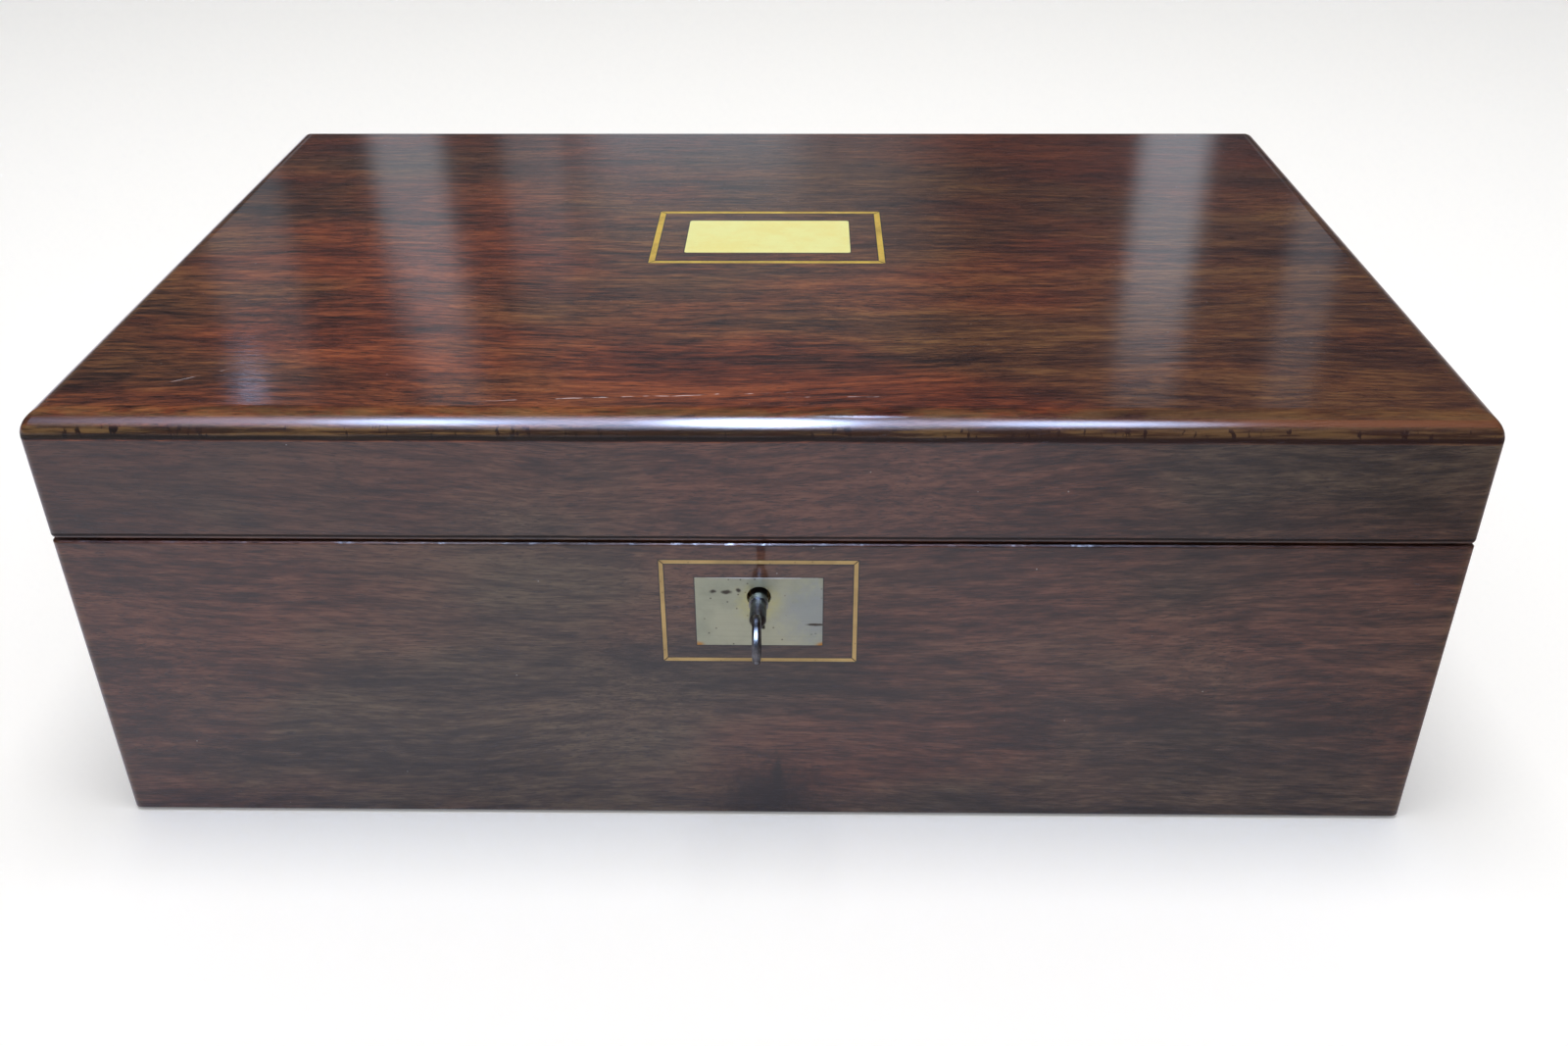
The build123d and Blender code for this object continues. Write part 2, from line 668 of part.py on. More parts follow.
def base_parts(form):
    """The lower half: walls, bottom board and the fittings fixed in it."""
    half = form & below_rim(-HALF_GAP)
    half = hollowed(chamfer(rim_edges(half, BASE_SIDE), BASE_RIM_BEVEL))
    groove = strip_groove(FRONT_STRING_X, FRONT_STRING_Z, FRONT_STRING_LINE, STRING_DEPTH)
    front = (half & side_prism("front")) - case_block(0) - selvedge()
    front -= keyhole(LOCK_ROOM, -HALF_Y - OVERCUT, CASE_FRONT)
    front -= [escutcheon_seat(), front_inlay_plane() * groove]
    back = (half & side_prism("back")) - hinge_pocket(BASE_SIDE) - fold_seat(BASE_SIDE)
    return {
        "base_front": front,
        "base_back": back,
        "base_left_end": half & side_prism("left"),
        "base_right_end": half & side_prism("right"),
        "base_bottom": block(-INNER_X, INNER_X, -INNER_Y, INNER_Y, 0, BOTTOM_BOARD),
        "base_fold_leather": fold_skin(BASE_SIDE),
        "fold_spine": fold_spine(),
    }


def escutcheon_seat():
    """Shallow recess for the escutcheon."""
    half_x, half_z = ESCUTCHEON_X / 2, ESCUTCHEON_Z / 2
    low, high = ESCUTCHEON_MIDDLE - half_z, ESCUTCHEON_MIDDLE + half_z
    return block(-half_x, half_x, -HALF_Y - OVERCUT, ESCUTCHEON_THICK - HALF_Y, low, high)


def lid_parts(form):
    """The upper half: walls, top board with its veneer and brass."""
    half = form & above_rim(HALF_GAP)
    half = hollowed(fillet(rim_edges(half, LID_SIDE), LID_RIM_ROUND))
    low = block(-HALF_X, HALF_X, -HALF_Y, HALF_Y, 0, HEIGHT - TOP_BOARD)
    high = block(-HALF_X, HALF_X, -HALF_Y, HALF_Y, HEIGHT - TOP_BOARD, HEIGHT)
    walls = half & low
    front = (walls & side_prism("front")) - link_pocket()
    front -= [catch_pocket(-1), catch_pocket(1), catch_pin(-1), catch_pin(1)]
    back = (walls & side_prism("back")) - hinge_pocket(LID_SIDE) - fold_seat(LID_SIDE)
    return {
        "lid_front": front,
        "lid_back": back,
        "lid_left_end": walls & side_prism("left"),
        "lid_right_end": walls & side_prism("right"),
        "lid_top": (form & high) - top_veneer() - top_inlay_cut(),
        "lid_top_veneer": top_veneer() - top_inlay_cut(),
        "lid_fold_leather": fold_skin(LID_SIDE),
    }


def brass_parts():
    """Inlay, hinges, lock, link plate, key and flap catches."""
    parts = {
        "escutcheon": escutcheon(),
        "front_stringing": Compound(front_stringing()),
        "top_plate": top_plate(),
        "top_stringing": Compound(top_stringing()),
        "lock_case": lock_case(),
        "lock_plate": lock_plate(),
        "lock_bolt": lock_bolt(),
        "drill_pin": drill_pin(),
        "link_plate": link_plate(),
        "key": key(),
        "catch_pins": Compound([catch_pin(-1), catch_pin(1)]),
        "hinge_pins": Compound([hinge_pin(-HINGE_X), hinge_pin(HINGE_X)]),
    }
    for name, hand in (("left", -1), ("right", 1)):
        centre = hand * HINGE_X
        parts[f"{name}_hinge_base_leaf"] = hinge_leaf(centre, BASE_SIDE)
        parts[f"{name}_hinge_lid_leaf"] = hinge_leaf(centre, LID_SIDE)
        parts[f"{name}_flap_catch"] = flap_catch(hand)
    return parts


def flap_parts():
    """The two writing flaps and the strips that carry them."""
    parts = {}
    for flap, half, side in (("upper_flap", "base", BASE_SIDE), ("lower_flap", "lid", LID_SIDE)):
        parts[f"{flap}_board"] = flap_board(side)
        parts[f"{flap}_leather"] = flap_leather(side)
        parts[f"{flap}_tab"] = flap_tab(side)
        parts[f"{half}_bearers"] = Compound(bearers(side))
    return parts


def lock_side_parts():
    """Rail, ink wells, pen tray and ink bottles."""
    parts = {
        "band_rail": band_rail(),
        "pen_tray": pen_tray(),
        "tray_rests": Compound([tray_rest(-1), tray_rest(1)]),
    }
    for name, hand in (("left", -1), ("right", 1)):
        parts[f"{name}_well_divider"] = well_divider(hand)
        parts[f"{name}_well_floor"] = well_floor(hand)
        parts[f"{name}_ink_bottle"] = ink_bottle(hand)
        parts[f"{name}_ink_cap"] = ink_cap(hand)
    return parts


def main():
    form = case_form()
    parts = base_parts(form) | lid_parts(form) | brass_parts() | flap_parts() | lock_side_parts()
    os.makedirs("parts", exist_ok=True)
    for name, shape in parts.items():
        export_step(shape, f"parts/{name}.step")


main()
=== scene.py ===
import json
import math
import random

import bmesh
import bpy
from mathutils import Matrix, Vector


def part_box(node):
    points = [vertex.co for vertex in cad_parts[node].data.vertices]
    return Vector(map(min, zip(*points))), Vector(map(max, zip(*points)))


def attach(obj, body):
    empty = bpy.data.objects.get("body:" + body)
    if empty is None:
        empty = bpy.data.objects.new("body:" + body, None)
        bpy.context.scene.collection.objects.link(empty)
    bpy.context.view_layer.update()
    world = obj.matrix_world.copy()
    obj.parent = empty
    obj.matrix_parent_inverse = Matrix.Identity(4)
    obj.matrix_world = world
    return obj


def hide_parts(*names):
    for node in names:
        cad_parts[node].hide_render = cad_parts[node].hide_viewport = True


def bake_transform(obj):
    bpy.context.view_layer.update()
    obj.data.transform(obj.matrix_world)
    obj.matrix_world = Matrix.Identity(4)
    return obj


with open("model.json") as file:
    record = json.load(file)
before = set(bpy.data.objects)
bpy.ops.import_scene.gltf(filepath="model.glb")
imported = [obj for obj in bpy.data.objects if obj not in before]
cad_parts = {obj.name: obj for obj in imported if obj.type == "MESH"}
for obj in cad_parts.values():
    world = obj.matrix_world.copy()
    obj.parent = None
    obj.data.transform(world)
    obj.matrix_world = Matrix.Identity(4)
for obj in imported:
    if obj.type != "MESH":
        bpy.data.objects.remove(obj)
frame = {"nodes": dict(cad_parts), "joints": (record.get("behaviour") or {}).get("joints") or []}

# Places taken from the frame, in metres
NODES = frame["nodes"]
JOINTS = {joint["name"]: joint for joint in frame["joints"]}
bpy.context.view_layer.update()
CASE_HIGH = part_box("lid_top")[1]
HALF_X = CASE_HIGH.x
HALF_Y = CASE_HIGH.y
TOP_Z = CASE_HIGH.z
MM = 0.001
AXIS = Vector(JOINTS["lid_hinge"]["pos_m"])
RIM_NORMAL = Vector(JOINTS["right_catch_turn"]["axis"])
SLOPE = math.atan2(RIM_NORMAL.y, RIM_NORMAL.z)
RIM = Matrix.Translation(AXIS) @ Matrix.Rotation(-SLOPE, 4, "X")

# Camera, fitted to the corners of the box in the photograph
CAMERA_PLACE = Vector((0.01341, -0.47429, 0.31895))
CAMERA_DOWN = 0.5511
CAMERA_LEFT = 0.0178
CAMERA_ROLL = -0.0052
CAMERA_LENS = 33.36
SENSOR_WIDTH = 36.0

# Studio
FLOOR_SIZE = 12.0
FLOOR_NEAR = (0.945, 0.94, 0.925, 1)
FLOOR_FAR = (0.96, 0.95, 0.91, 1)
FLOOR_MIRRORED = (0.90, 0.89, 1.0, 1)
FLOOR_MIRRORED_DIM = (0.36, 0.30, 0.30, 1)
FLOOR_LIFT_NEAR = (0.12, 0.12, 0.119, 1)
FLOOR_LIFT_FAR = (0.42, 0.41, 0.368, 1)
FLOOR_LIFT_FROM = 1.3
FLOOR_LIFT_TO = 2.3
FLOOR_DROP = 0.2 * MM
BACKDROP = (0.89, 0.88, 0.845, 1)
SOFT_LIGHT = (0.50, 0.50, 0.52, 1)
ROOM_DARK = (0.055, 0.055, 0.062, 1)
ROOM_BRIGHT = (0.93, 1.05, 1.18, 1)
LIGHT_BLUE = (0.64, 0.84, 1.30, 1)
LAMP_PLACE = Vector((0.0, -0.05, 1.7))
LAMP_TARGET = Vector((0, 0, 0.1))
LAMP_SIZE = (0.9, 0.7)
LAMP_ENERGY = 16.5
LAMP_COLOUR = (1.0, 0.985, 0.96)

# Pale openings at the back of the room, set from what the photo's lid mirrors:
# azimuth, half width, lowest, highest and strength, with all angles in radians
OPENINGS = (
    (-0.385, 0.026, 0.20, 0.40, 0.22),
    (-0.274, 0.023, 0.14, 0.36, 0.50),
    (-0.264, 0.021, 0.38, 0.50, 0.22),
    (-0.190, 0.020, 0.20, 0.36, 0.20),
    (-0.078, 0.070, 0.10, 0.28, 0.42),
    (-0.050, 0.130, 0.14, 0.40, 0.17),
    (0.250, 0.022, 0.14, 0.40, 0.70),
    (0.350, 0.016, 0.24, 0.42, 0.26),
)

# Round lights: middle, half width, half height and strength. The middle is given by the X of
# its direction and by its angle from +Y over the top. The first is a faint long light over the
# front of the box, with the next four in it. The last two are small ones at the back.
ROUND_LIGHTS = (
    ((-0.12, 2.20), 0.47, 0.66, 8.5),
    ((-0.258, 2.20), 0.085, 0.38, 20.0),
    ((-0.034, 2.20), 0.090, 0.54, 54.0),
    ((0.037, 1.66), 0.035, 0.14, 22.0),
    ((0.190, 2.20), 0.115, 0.38, 18.0),
    ((-0.357, 0.460), 0.015, 0.007, 4.5),
    ((-0.359, 0.475), 0.017, 0.006, 4.0),
)

# Rosewood and its polish
VENEER = 1.3 * MM
ROUND = 7.0 * MM
# Darkest streak of the wood, also used as the painted dark reflection low on the front
DARK_STREAK_AND_REFLECTION = (0.014, 0.007, 0.006, 1)
TOP_PALETTE = (
    DARK_STREAK_AND_REFLECTION,
    (0.062, 0.023, 0.014, 1),
    (0.145, 0.050, 0.021, 1),
    (0.28, 0.110, 0.038, 1),
)
WALL_PALETTE = (
    DARK_STREAK_AND_REFLECTION,
    (0.033, 0.017, 0.012, 1),
    (0.074, 0.038, 0.024, 1),
    (0.138, 0.078, 0.048, 1),
)
PALETTE_STEPS = (0.40, 0.46, 0.52, 0.60)
GRAIN_WANDER = 0.024
BROWNER = (0.88, 1.08, 1.12, 1)
REDDER = (1.16, 0.80, 0.82, 1)
DEEP_RED = (0.055, 0.012, 0.010, 1)
RUBBED = (0.27, 0.155, 0.06, 1)
WORN_DARK = (0.032, 0.017, 0.010, 1)
CRACK = (0.85, 0.76, 0.80, 1)
DUST = (0.6, 0.58, 0.55, 1)
INNER_WOOD = (0.17, 0.062, 0.026, 1)
INNER_DARK = (0.07, 0.024, 0.012, 1)
# Dark dirt, and also the painted shade of the line above the lid's split
GRIME_AND_SHADE = (0.010, 0.007, 0.006, 1)
COAT_IOR = 1.55

# Brass, its lines let into the wood, and the dark joints round and across them
TARNISH_SPOT = (0.05, 0.035, 0.02, 1)
TOP_LINE_WIDTH = 2.0 * MM
FRONT_LINE_WIDTH = 1.2 * MM
SEAM_WIDTH = 0.5 * MM
MITRE_WIDTH = 0.3 * MM
MITRE_DARK = (0.05, 0.03, 0.015, 1)

# Leather, ribbon and screws; an edge value is how far each face is drawn in at the sheet's edge
LEATHER_GAP = 0.25 * MM
LEATHER_SUNK = 0.16 * MM
LEATHER_EDGE = 0.12 * MM
FOLD_EDGE = 0.1 * MM
FOLD_BEND = 0.9 * MM
TAB_EDGE = 0.05 * MM
TAB_RIPPLE = 0.12 * MM
GILT = (0.62, 0.43, 0.13, 1)
SCREW_PROUD = 0.12 * MM
HINGE_SCREW = 2.1 * MM
LOCK_SCREW = 2.0 * MM
LINK_SCREW = 1.9 * MM
HINGE_SCREW_IN = 3.6 * MM

# Facets that meet at a smaller angle than this are shaded smooth
SHARP_ANGLE = math.radians(32)


# Node graph helpers

def wire(tree, node, inputs):
    """Sets each input of a node, or links it where the value comes from another node."""
    for name, value in inputs.items():
        if isinstance(value, bpy.types.NodeSocket):
            tree.links.new(value, node.inputs[name])
        else:
            node.inputs[name].default_value = value


def add(tree, kind, inputs=None, **settings):
    """New node with its settings and inputs."""
    node = tree.nodes.new(kind)
    for name, value in settings.items():
        setattr(node, name, value)
    wire(tree, node, inputs or {})
    return node


def maths(tree, operation, a, b=0.0):
    return add(tree, "ShaderNodeMath", {0: a, 1: b}, operation=operation).outputs[0]


def times(tree, a, b):
    return maths(tree, "MULTIPLY", a, b)


def plus(tree, a, b):
    return maths(tree, "ADD", a, b)


def minus(tree, a, b):
    return maths(tree, "SUBTRACT", a, b)


def apart(tree, a, b):
    """How far two values are apart, whichever is larger."""
    return maths(tree, "ABSOLUTE", minus(tree, a, b))


def chained(tree, operation, values):
    """One operation over all the values, one after another."""
    result = values[0]
    for value in values[1:]:
        result = maths(tree, operation, result, value)
    return result


def total(tree, values):
    return chained(tree, "ADD", values)


def weighted(tree, *pairs):
    """Total of values, each times its own weight."""
    return total(tree, [times(tree, value, weight) for value, weight in pairs])


def greatest(tree, values):
    return chained(tree, "MAXIMUM", values)


def least(tree, values):
    return chained(tree, "MINIMUM", values)


def fade(tree, value, start, end):
    """Smooth step from 0 at start to 1 at end."""
    inputs = {"Value": value, "From Min": start, "From Max": end}
    node = add(tree, "ShaderNodeMapRange", inputs, interpolation_type="SMOOTHSTEP")
    return node.outputs["Result"]


def between(tree, value, low, high):
    """A value from 0 to 1, stretched to run from low to high."""
    inputs = {"Value": value, "To Min": low, "To Max": high}
    return add(tree, "ShaderNodeMapRange", inputs).outputs[0]


def split(tree, vector):
    return add(tree, "ShaderNodeSeparateXYZ", {0: vector}).outputs


def vector_maths(tree, operation, a, b):
    return add(tree, "ShaderNodeVectorMath", {0: a, 1: b}, operation=operation).outputs[0]


def dot(tree, a, b):
    node = add(tree, "ShaderNodeVectorMath", {0: a, 1: b}, operation="DOT_PRODUCT")
    return node.outputs["Value"]


def vector_length(tree, vector):
    node = add(tree, "ShaderNodeVectorMath", {0: vector}, operation="LENGTH")
    return node.outputs["Value"]


def scaled(tree, vector, scale):
    """A vector stretched by one number, or by one number for each axis."""
    if isinstance(scale, float):
        scale = (scale, scale, scale)
    return vector_maths(tree, "MULTIPLY", vector, scale)


def noise_outputs(tree, vector, scale, detail, roughness):
    """Outputs of noise over a vector that is first stretched by the given scale."""
    stretched_vector = scaled(tree, vector, scale)
    inputs = {"Vector": stretched_vector, "Scale": 1.0, "Detail": detail, "Roughness": roughness}
    return add(tree, "ShaderNodeTexNoise", inputs).outputs


def noise(tree, vector, scale, detail=3.0, roughness=0.55):
    return noise_outputs(tree, vector, scale, detail, roughness)["Fac"]


def noise_vector(tree, vector, scale, detail=3.0, roughness=0.55):
    return noise_outputs(tree, vector, scale, detail, roughness)["Color"]


def cells(tree, vector, scale):
    """Distance from the middle of the nearest of many scattered cells."""
    inputs = {"Vector": scaled(tree, vector, scale), "Scale": 1.0}
    return add(tree, "ShaderNodeTexVoronoi", inputs).outputs["Distance"]


def spots(tree, vector, scale, size):
    """Scattered round spots, 1 inside and 0 outside."""
    return fade(tree, cells(tree, vector, scale), size, size * 0.4)


def ramp(tree, factor, stops):
    """Colour ramp with one stop for each place and colour."""
    node = add(tree, "ShaderNodeValToRGB", {"Fac": factor})
    places = node.color_ramp.elements
    while len(places) < len(stops):
        places.new(0.5)
    for element, (place, colour) in zip(places, stops):
        element.position = place
        element.color = colour
    return node.outputs["Color"]


def mix(tree, factor, a, b, mode="MIX"):
    """Mix of two colours."""
    inputs = {0: factor, 6: a, 7: b}
    return add(tree, "ShaderNodeMix", inputs, data_type="RGBA", blend_type=mode).outputs[2]


def mix_value(tree, factor, a, b):
    inputs = {0: factor, 2: a, 3: b}
    return add(tree, "ShaderNodeMix", inputs, data_type="FLOAT").outputs[0]


def marked(tree, place, colour, marks):
    """The colour with marks on it; each is the function that shapes it, its paint and its shape."""
    for make, paint_colour, shape in marks:
        colour = mix(tree, make(tree, place, *shape), colour, paint_colour)
    return colour


def bump(tree, height, distance, strength=1.0):
    inputs = {"Height": height, "Distance": distance, "Strength": strength}
    return add(tree, "ShaderNodeBump", inputs).outputs[0]


def shaded(colour, share):
    """A colour made darker or paler by one share."""
    return tuple(part * share for part in colour[:3]) + (1,)


def new_surface(name):
    """Material with its tree, its principled shader and the place in the frame."""
    material = bpy.data.materials.new(name)
    material.use_nodes = True
    tree = material.node_tree
    place = add(tree, "ShaderNodeTexCoord").outputs["Object"]
    return material, tree, tree.nodes["Principled BSDF"], place


# Wood

def inset(tree, place):
    """How far a point lies in from the case's ends, long sides and top, and its own X, Y and Z."""
    parts = split(tree, place)
    from_end = minus(tree, HALF_X, maths(tree, "ABSOLUTE", parts["X"]))
    from_long = minus(tree, HALF_Y, maths(tree, "ABSOLUTE", parts["Y"]))
    from_top = minus(tree, TOP_Z, parts["Z"])
    return from_end, from_long, from_top, parts


def stretched(along, low, high):
    """Low along the grain and high across it."""
    return tuple(low if step else high for step in along)


def waved(tree, place, along):
    """The place, moved a little across the grain so that the figure wanders."""
    swing = noise_vector(tree, place, stretched(along, 5.0, 11.0), 2.0)
    centred = vector_maths(tree, "SUBTRACT", swing, (0.5, 0.5, 0.5))
    shift = scaled(tree, centred, stretched(along, 0.0, GRAIN_WANDER))
    return vector_maths(tree, "ADD", place, shift)


def drifted(tree, place, along, colour):
    """The colour, browner in some broad patches of the wood and redder in others."""
    drift = noise(tree, place, stretched(along, 6.0, 12.0))
    browner = mix(tree, 1.0, colour, BROWNER, "MULTIPLY")
    redder = mix(tree, 1.0, colour, REDDER, "MULTIPLY")
    return mix(tree, fade(tree, drift, 0.40, 0.60), browner, redder)


def rosewood_figure(tree, place, along, palette):
    """Colour, streaks and pores of rosewood: short dark and orange lines that run one way."""
    path = waved(tree, place, along)
    bands = noise(tree, path, stretched(along, 7.0, 50.0))
    streaks = noise(tree, path, stretched(along, 46.0, 380.0), 5.0, 0.65)
    flecks = noise(tree, path, stretched(along, 110.0, 1050.0), 3.0, 0.6)
    fibres = noise(tree, path, stretched(along, 130.0, 2300.0), 2.0)
    tone = weighted(tree, (bands, 0.27), (streaks, 0.35), (flecks, 0.24), (fibres, 0.14))
    colour = ramp(tree, tone, list(zip(PALETTE_STEPS, palette)))
    colour = drifted(tree, place, along, colour)
    pores = fade(tree, noise(tree, path, stretched(along, 190.0, 3600.0), 1.0), 0.58, 0.68)
    return mix(tree, times(tree, pores, 0.75), colour, DARK_STREAK_AND_REFLECTION), streaks, pores


def rubbing(tree, place):
    """Where the polish is rubbed: all round the top's rounded edge and down the corners."""
    from_end, from_long, from_top, _ = inset(tree, place)
    side = least(tree, [from_end, from_long])
    over = fade(tree, plus(tree, side, from_top), ROUND * 1.03, ROUND * 0.66)
    corner = fade(tree, plus(tree, from_end, from_long), 4.2 * MM, 1.2 * MM)
    uneven = fade(tree, noise(tree, place, (70.0, 70.0, 420.0), 4.0, 0.65), 0.34, 0.62)
    return times(tree, greatest(tree, [over, times(tree, corner, 0.45)]), uneven)


def worn_band(tree, place):
    """Lower half of the rounded edge: golden where it is worn, with dark upright chips."""
    from_end, from_long, from_top, _ = inset(tree, place)
    side = least(tree, [from_end, from_long])
    outer = fade(tree, side, 1.5 * MM, 0.7 * MM)
    lower = fade(tree, from_top, ROUND * 0.99, ROUND * 0.93)
    fine = noise(tree, place, (45.0, 45.0, 900.0), 4.0, 0.7)
    broad = noise(tree, place, (11.0, 11.0, 0.0), 2.0)
    along = fade(tree, plus(tree, fine, times(tree, broad, 1.2)), 1.0, 1.22)
    chips = fade(tree, noise(tree, place, (420.0, 420.0, 120.0), 3.0), 0.57, 0.64)
    return times(tree, outer, lower), along, chips


def edge_colour(tree, place, colour, streaks):
    """Wood colour with the rubbed rounding and its worn lower band."""
    pale = mix(tree, streaks, shaded(RUBBED, 0.40), RUBBED)
    colour = mix(tree, times(tree, rubbing(tree, place), 0.60), colour, pale)
    band, along, chips = worn_band(tree, place)
    golden = mix(tree, along, WORN_DARK, shaded(RUBBED, 0.75))
    golden = mix(tree, chips, golden, GRIME_AND_SHADE)
    return mix(tree, times(tree, band, 0.9), colour, golden)


def joint_line(tree, place):
    """Dark, dirty line under the rounded edge, where the top board meets the walls."""
    _, _, from_top, _ = inset(tree, place)
    wander = times(tree, minus(tree, noise(tree, place, (30.0, 30.0, 0.0)), 0.5), 1.2 * MM)
    depth = apart(tree, plus(tree, from_top, wander), ROUND - 0.6 * MM)
    return fade(tree, depth, 1.25 * MM, 0.4 * MM)


def off_rim(tree, place):
    """Distance above the sloping split between base and lid."""
    from_axis = vector_maths(tree, "SUBTRACT", place, AXIS)
    return dot(tree, from_axis, RIM_NORMAL)


def painted_rim_shade(tree, place):
    """Painted shade: a fine dark line just above the split, where the lid's rim is rounded off."""
    wander = times(tree, noise(tree, place, (25.0, 25.0, 0.0)), 0.5 * MM)
    near = apart(tree, plus(tree, off_rim(tree, place), wander), 2.1 * MM)
    return fade(tree, near, 0.55 * MM, 0.22 * MM)


def rim_dust(tree, place):
    """Broken dull line along the very edge of the base's rim."""
    near = maths(tree, "ABSOLUTE", plus(tree, off_rim(tree, place), 0.3 * MM))
    broken = fade(tree, noise(tree, place, (160.0, 160.0, 0.0), 4.0, 0.7), 0.68, 0.52)
    return times(tree, fade(tree, near, 0.9 * MM, 0.5 * MM), broken)


def scratch(tree, place, start, end, width):
    """A thin ragged line from start to end, for a crack or scratch on one face."""
    start, end = Vector(start), Vector(end)
    run = end - start
    length, along = run.length, run.normalized()
    wobble = scaled(tree, noise_vector(tree, place, 90.0), 2.0 * MM)
    moved = vector_maths(tree, "ADD", place, wobble)
    offset = vector_maths(tree, "SUBTRACT", moved, start + Vector((MM, MM, MM)))
    far = dot(tree, offset, along)
    foot = add(tree, "ShaderNodeVectorMath", {0: along, "Scale": far}, operation="SCALE").outputs[0]
    off = vector_length(tree, vector_maths(tree, "SUBTRACT", offset, foot))
    inside = times(tree, fade(tree, far, 0.0, length * 0.3), fade(tree, far, length, length * 0.85))
    broken = fade(tree, noise(tree, place, (150.0, 20.0, 20.0)), 0.38, 0.52)
    return times(tree, times(tree, fade(tree, off, width, width * 0.4), inside), broken)


def rosewood(name, along, palette, marks=()):
    """French-polished rosewood veneer over plain inner wood, with wear, pores, dust and a painted
    shade line above the split.
    """
    material, tree, shader, place = new_surface(name)
    colour, streaks, pores = rosewood_figure(tree, place, along, palette)
    colour = edge_colour(tree, place, colour, streaks)
    # Dirt in the joint line under the rounded edge, and painted shade in the line above the split
    dirt_and_shade = greatest(tree, [joint_line(tree, place), painted_rim_shade(tree, place)])
    colour = mix(tree, times(tree, dirt_and_shade, 0.92), colour, GRIME_AND_SHADE)
    colour = marked(tree, place, colour, marks)
    inner, unpolished = bareness(tree, place, dirt_and_shade)
    colour = mix(tree, inner, colour, plain_wood_colour(tree, place, along))
    dust = times(tree, spots(tree, place, 95.0, 0.028), 0.4)
    colour = mix(tree, dust, colour, DUST)
    wire(tree, shader, {
        "Base Color": colour,
        "Roughness": between(tree, noise(tree, place, 14.0, 4.0), 0.30, 0.46),
        "Specular IOR Level": 0.15,
        "Normal": bump(tree, minus(tree, streaks, pores), 0.10 * MM),
        "Coat Weight": minus(tree, 1.0, unpolished),
        "Coat Roughness": 0.07,
        "Coat IOR": COAT_IOR,
        "Coat Normal": bump(tree, plus(tree, streaks, times(tree, pores, 0.025)), 0.05 * MM, 0.6),
    })
    return material


def bareness(tree, place, dirt_and_shade):
    """Where the plain wood under the veneer shows, and where the polish is missing or dull."""
    from_end, from_long, from_top, parts = inset(tree, place)
    depth = least(tree, [from_end, from_long, from_top, parts["Z"]])
    inner = fade(tree, depth, VENEER, VENEER + 0.2 * MM)
    dull = greatest(tree, [dirt_and_shade, rim_dust(tree, place)])
    below_edge = fade(tree, from_top, ROUND * 0.9, ROUND)
    return inner, mix_value(tree, times(tree, inner, below_edge), times(tree, dull, 0.9), 0.8)


def toward(tree, place, axis, start, end, most):
    """Mask that grows slowly along an axis, from nothing at start to its most at end."""
    parts = split(tree, place)
    return times(tree, fade(tree, parts[axis], start, end), most)


def past_frame(tree, place, axes, middle, half):
    """How far a point lies past a rectangle's edges, along each of its two axes."""
    parts = split(tree, place)
    return [
        minus(tree, apart(tree, parts[axis], centre), reach)
        for axis, centre, reach in zip(axes, middle, half)
    ]


def seam(tree, place, axes, middle, half, width):
    """Dark glue line round a rectangle that is let into a face."""
    past = past_frame(tree, place, axes, middle, half)
    near = maths(tree, "ABSOLUTE", greatest(tree, past))
    return times(tree, fade(tree, near, width, width * 0.4), 0.8)


def mitre(tree, place, axes, middle, half, width):
    """Dark joints across the corners of a mitred frame."""
    past = past_frame(tree, place, axes, middle, half)
    near = apart(tree, past[0], past[1])
    return fade(tree, near, width, width * 0.4)


def plain_wood_colour(tree, place, along):
    """Colour of the plain inner wood, with soft lines along the grain."""
    lines = noise(tree, waved(tree, place, along), stretched(along, 9.0, 210.0), 4.0, 0.6)
    return ramp(tree, lines, [(0.33, INNER_DARK), (0.62, INNER_WOOD)])


def mahogany(name, along):
    """Waxed inner wood."""
    material, tree, shader, place = new_surface(name)
    lines = noise(tree, place, stretched(along, 60.0, 1500.0), 3.0)
    shade = noise(tree, place, 9.0, 3.0)
    colour = plain_wood_colour(tree, place, along)
    colour = mix(tree, fade(tree, lines, 0.56, 0.68), colour, INNER_DARK)
    colour = mix(tree, fade(tree, shade, 0.55, 0.75), colour, GRIME_AND_SHADE)
    wire(tree, shader, {
        "Base Color": colour,
        "Roughness": between(tree, shade, 0.38, 0.58),
        "Specular IOR Level": 0.2,
        "Normal": bump(tree, lines, 0.12 * MM),
        "Coat Weight": 0.12,
        "Coat Roughness": 0.3,
    })
    return material


# Metal, glass and soft goods

def brass(name, bright, dull, *, spotted, roughness, metallic=1.0, marks=()):
    """Old brass: fine brushing, patches of tarnish, dark spots and single marks."""
    material, tree, shader, place = new_surface(name)
    patches = fade(tree, noise(tree, place, 55.0, 5.0, 0.65), 0.38, 0.66)
    brushing = noise(tree, place, (60.0, 2400.0, 2400.0), 2.0)
    flecks = times(tree, spots(tree, place, 420.0, 0.16), spotted)
    colour = mix(tree, patches, bright, dull)
    colour = mix(tree, times(tree, fade(tree, brushing, 0.5, 0.7), 0.25), colour, dull)
    colour = mix(tree, flecks, colour, TARNISH_SPOT)
    colour = marked(tree, place, colour, marks)
    uneven = weighted(tree, (patches, 0.12), (flecks, 0.3), (brushing, 0.10))
    wire(tree, shader, {
        "Base Color": colour,
        "Metallic": metallic,
        "Roughness": plus(tree, uneven, roughness),
        "Normal": bump(tree, minus(tree, brushing, flecks), 0.03 * MM),
    })
    return material


def blot(tree, place, middle, reach, soft):
    """A ragged patch round one place, used for stains and for painted reflection and highlight;
    reach is its half size along each axis.
    """
    moved = vector_maths(tree, "SUBTRACT", place, middle)
    far = vector_length(tree, scaled(tree, moved, tuple(1 / part for part in reach)))
    ragged = plus(tree, far, minus(tree, noise(tree, place, 500.0), 0.5))
    return fade(tree, ragged, 1.0, 1.0 - soft)


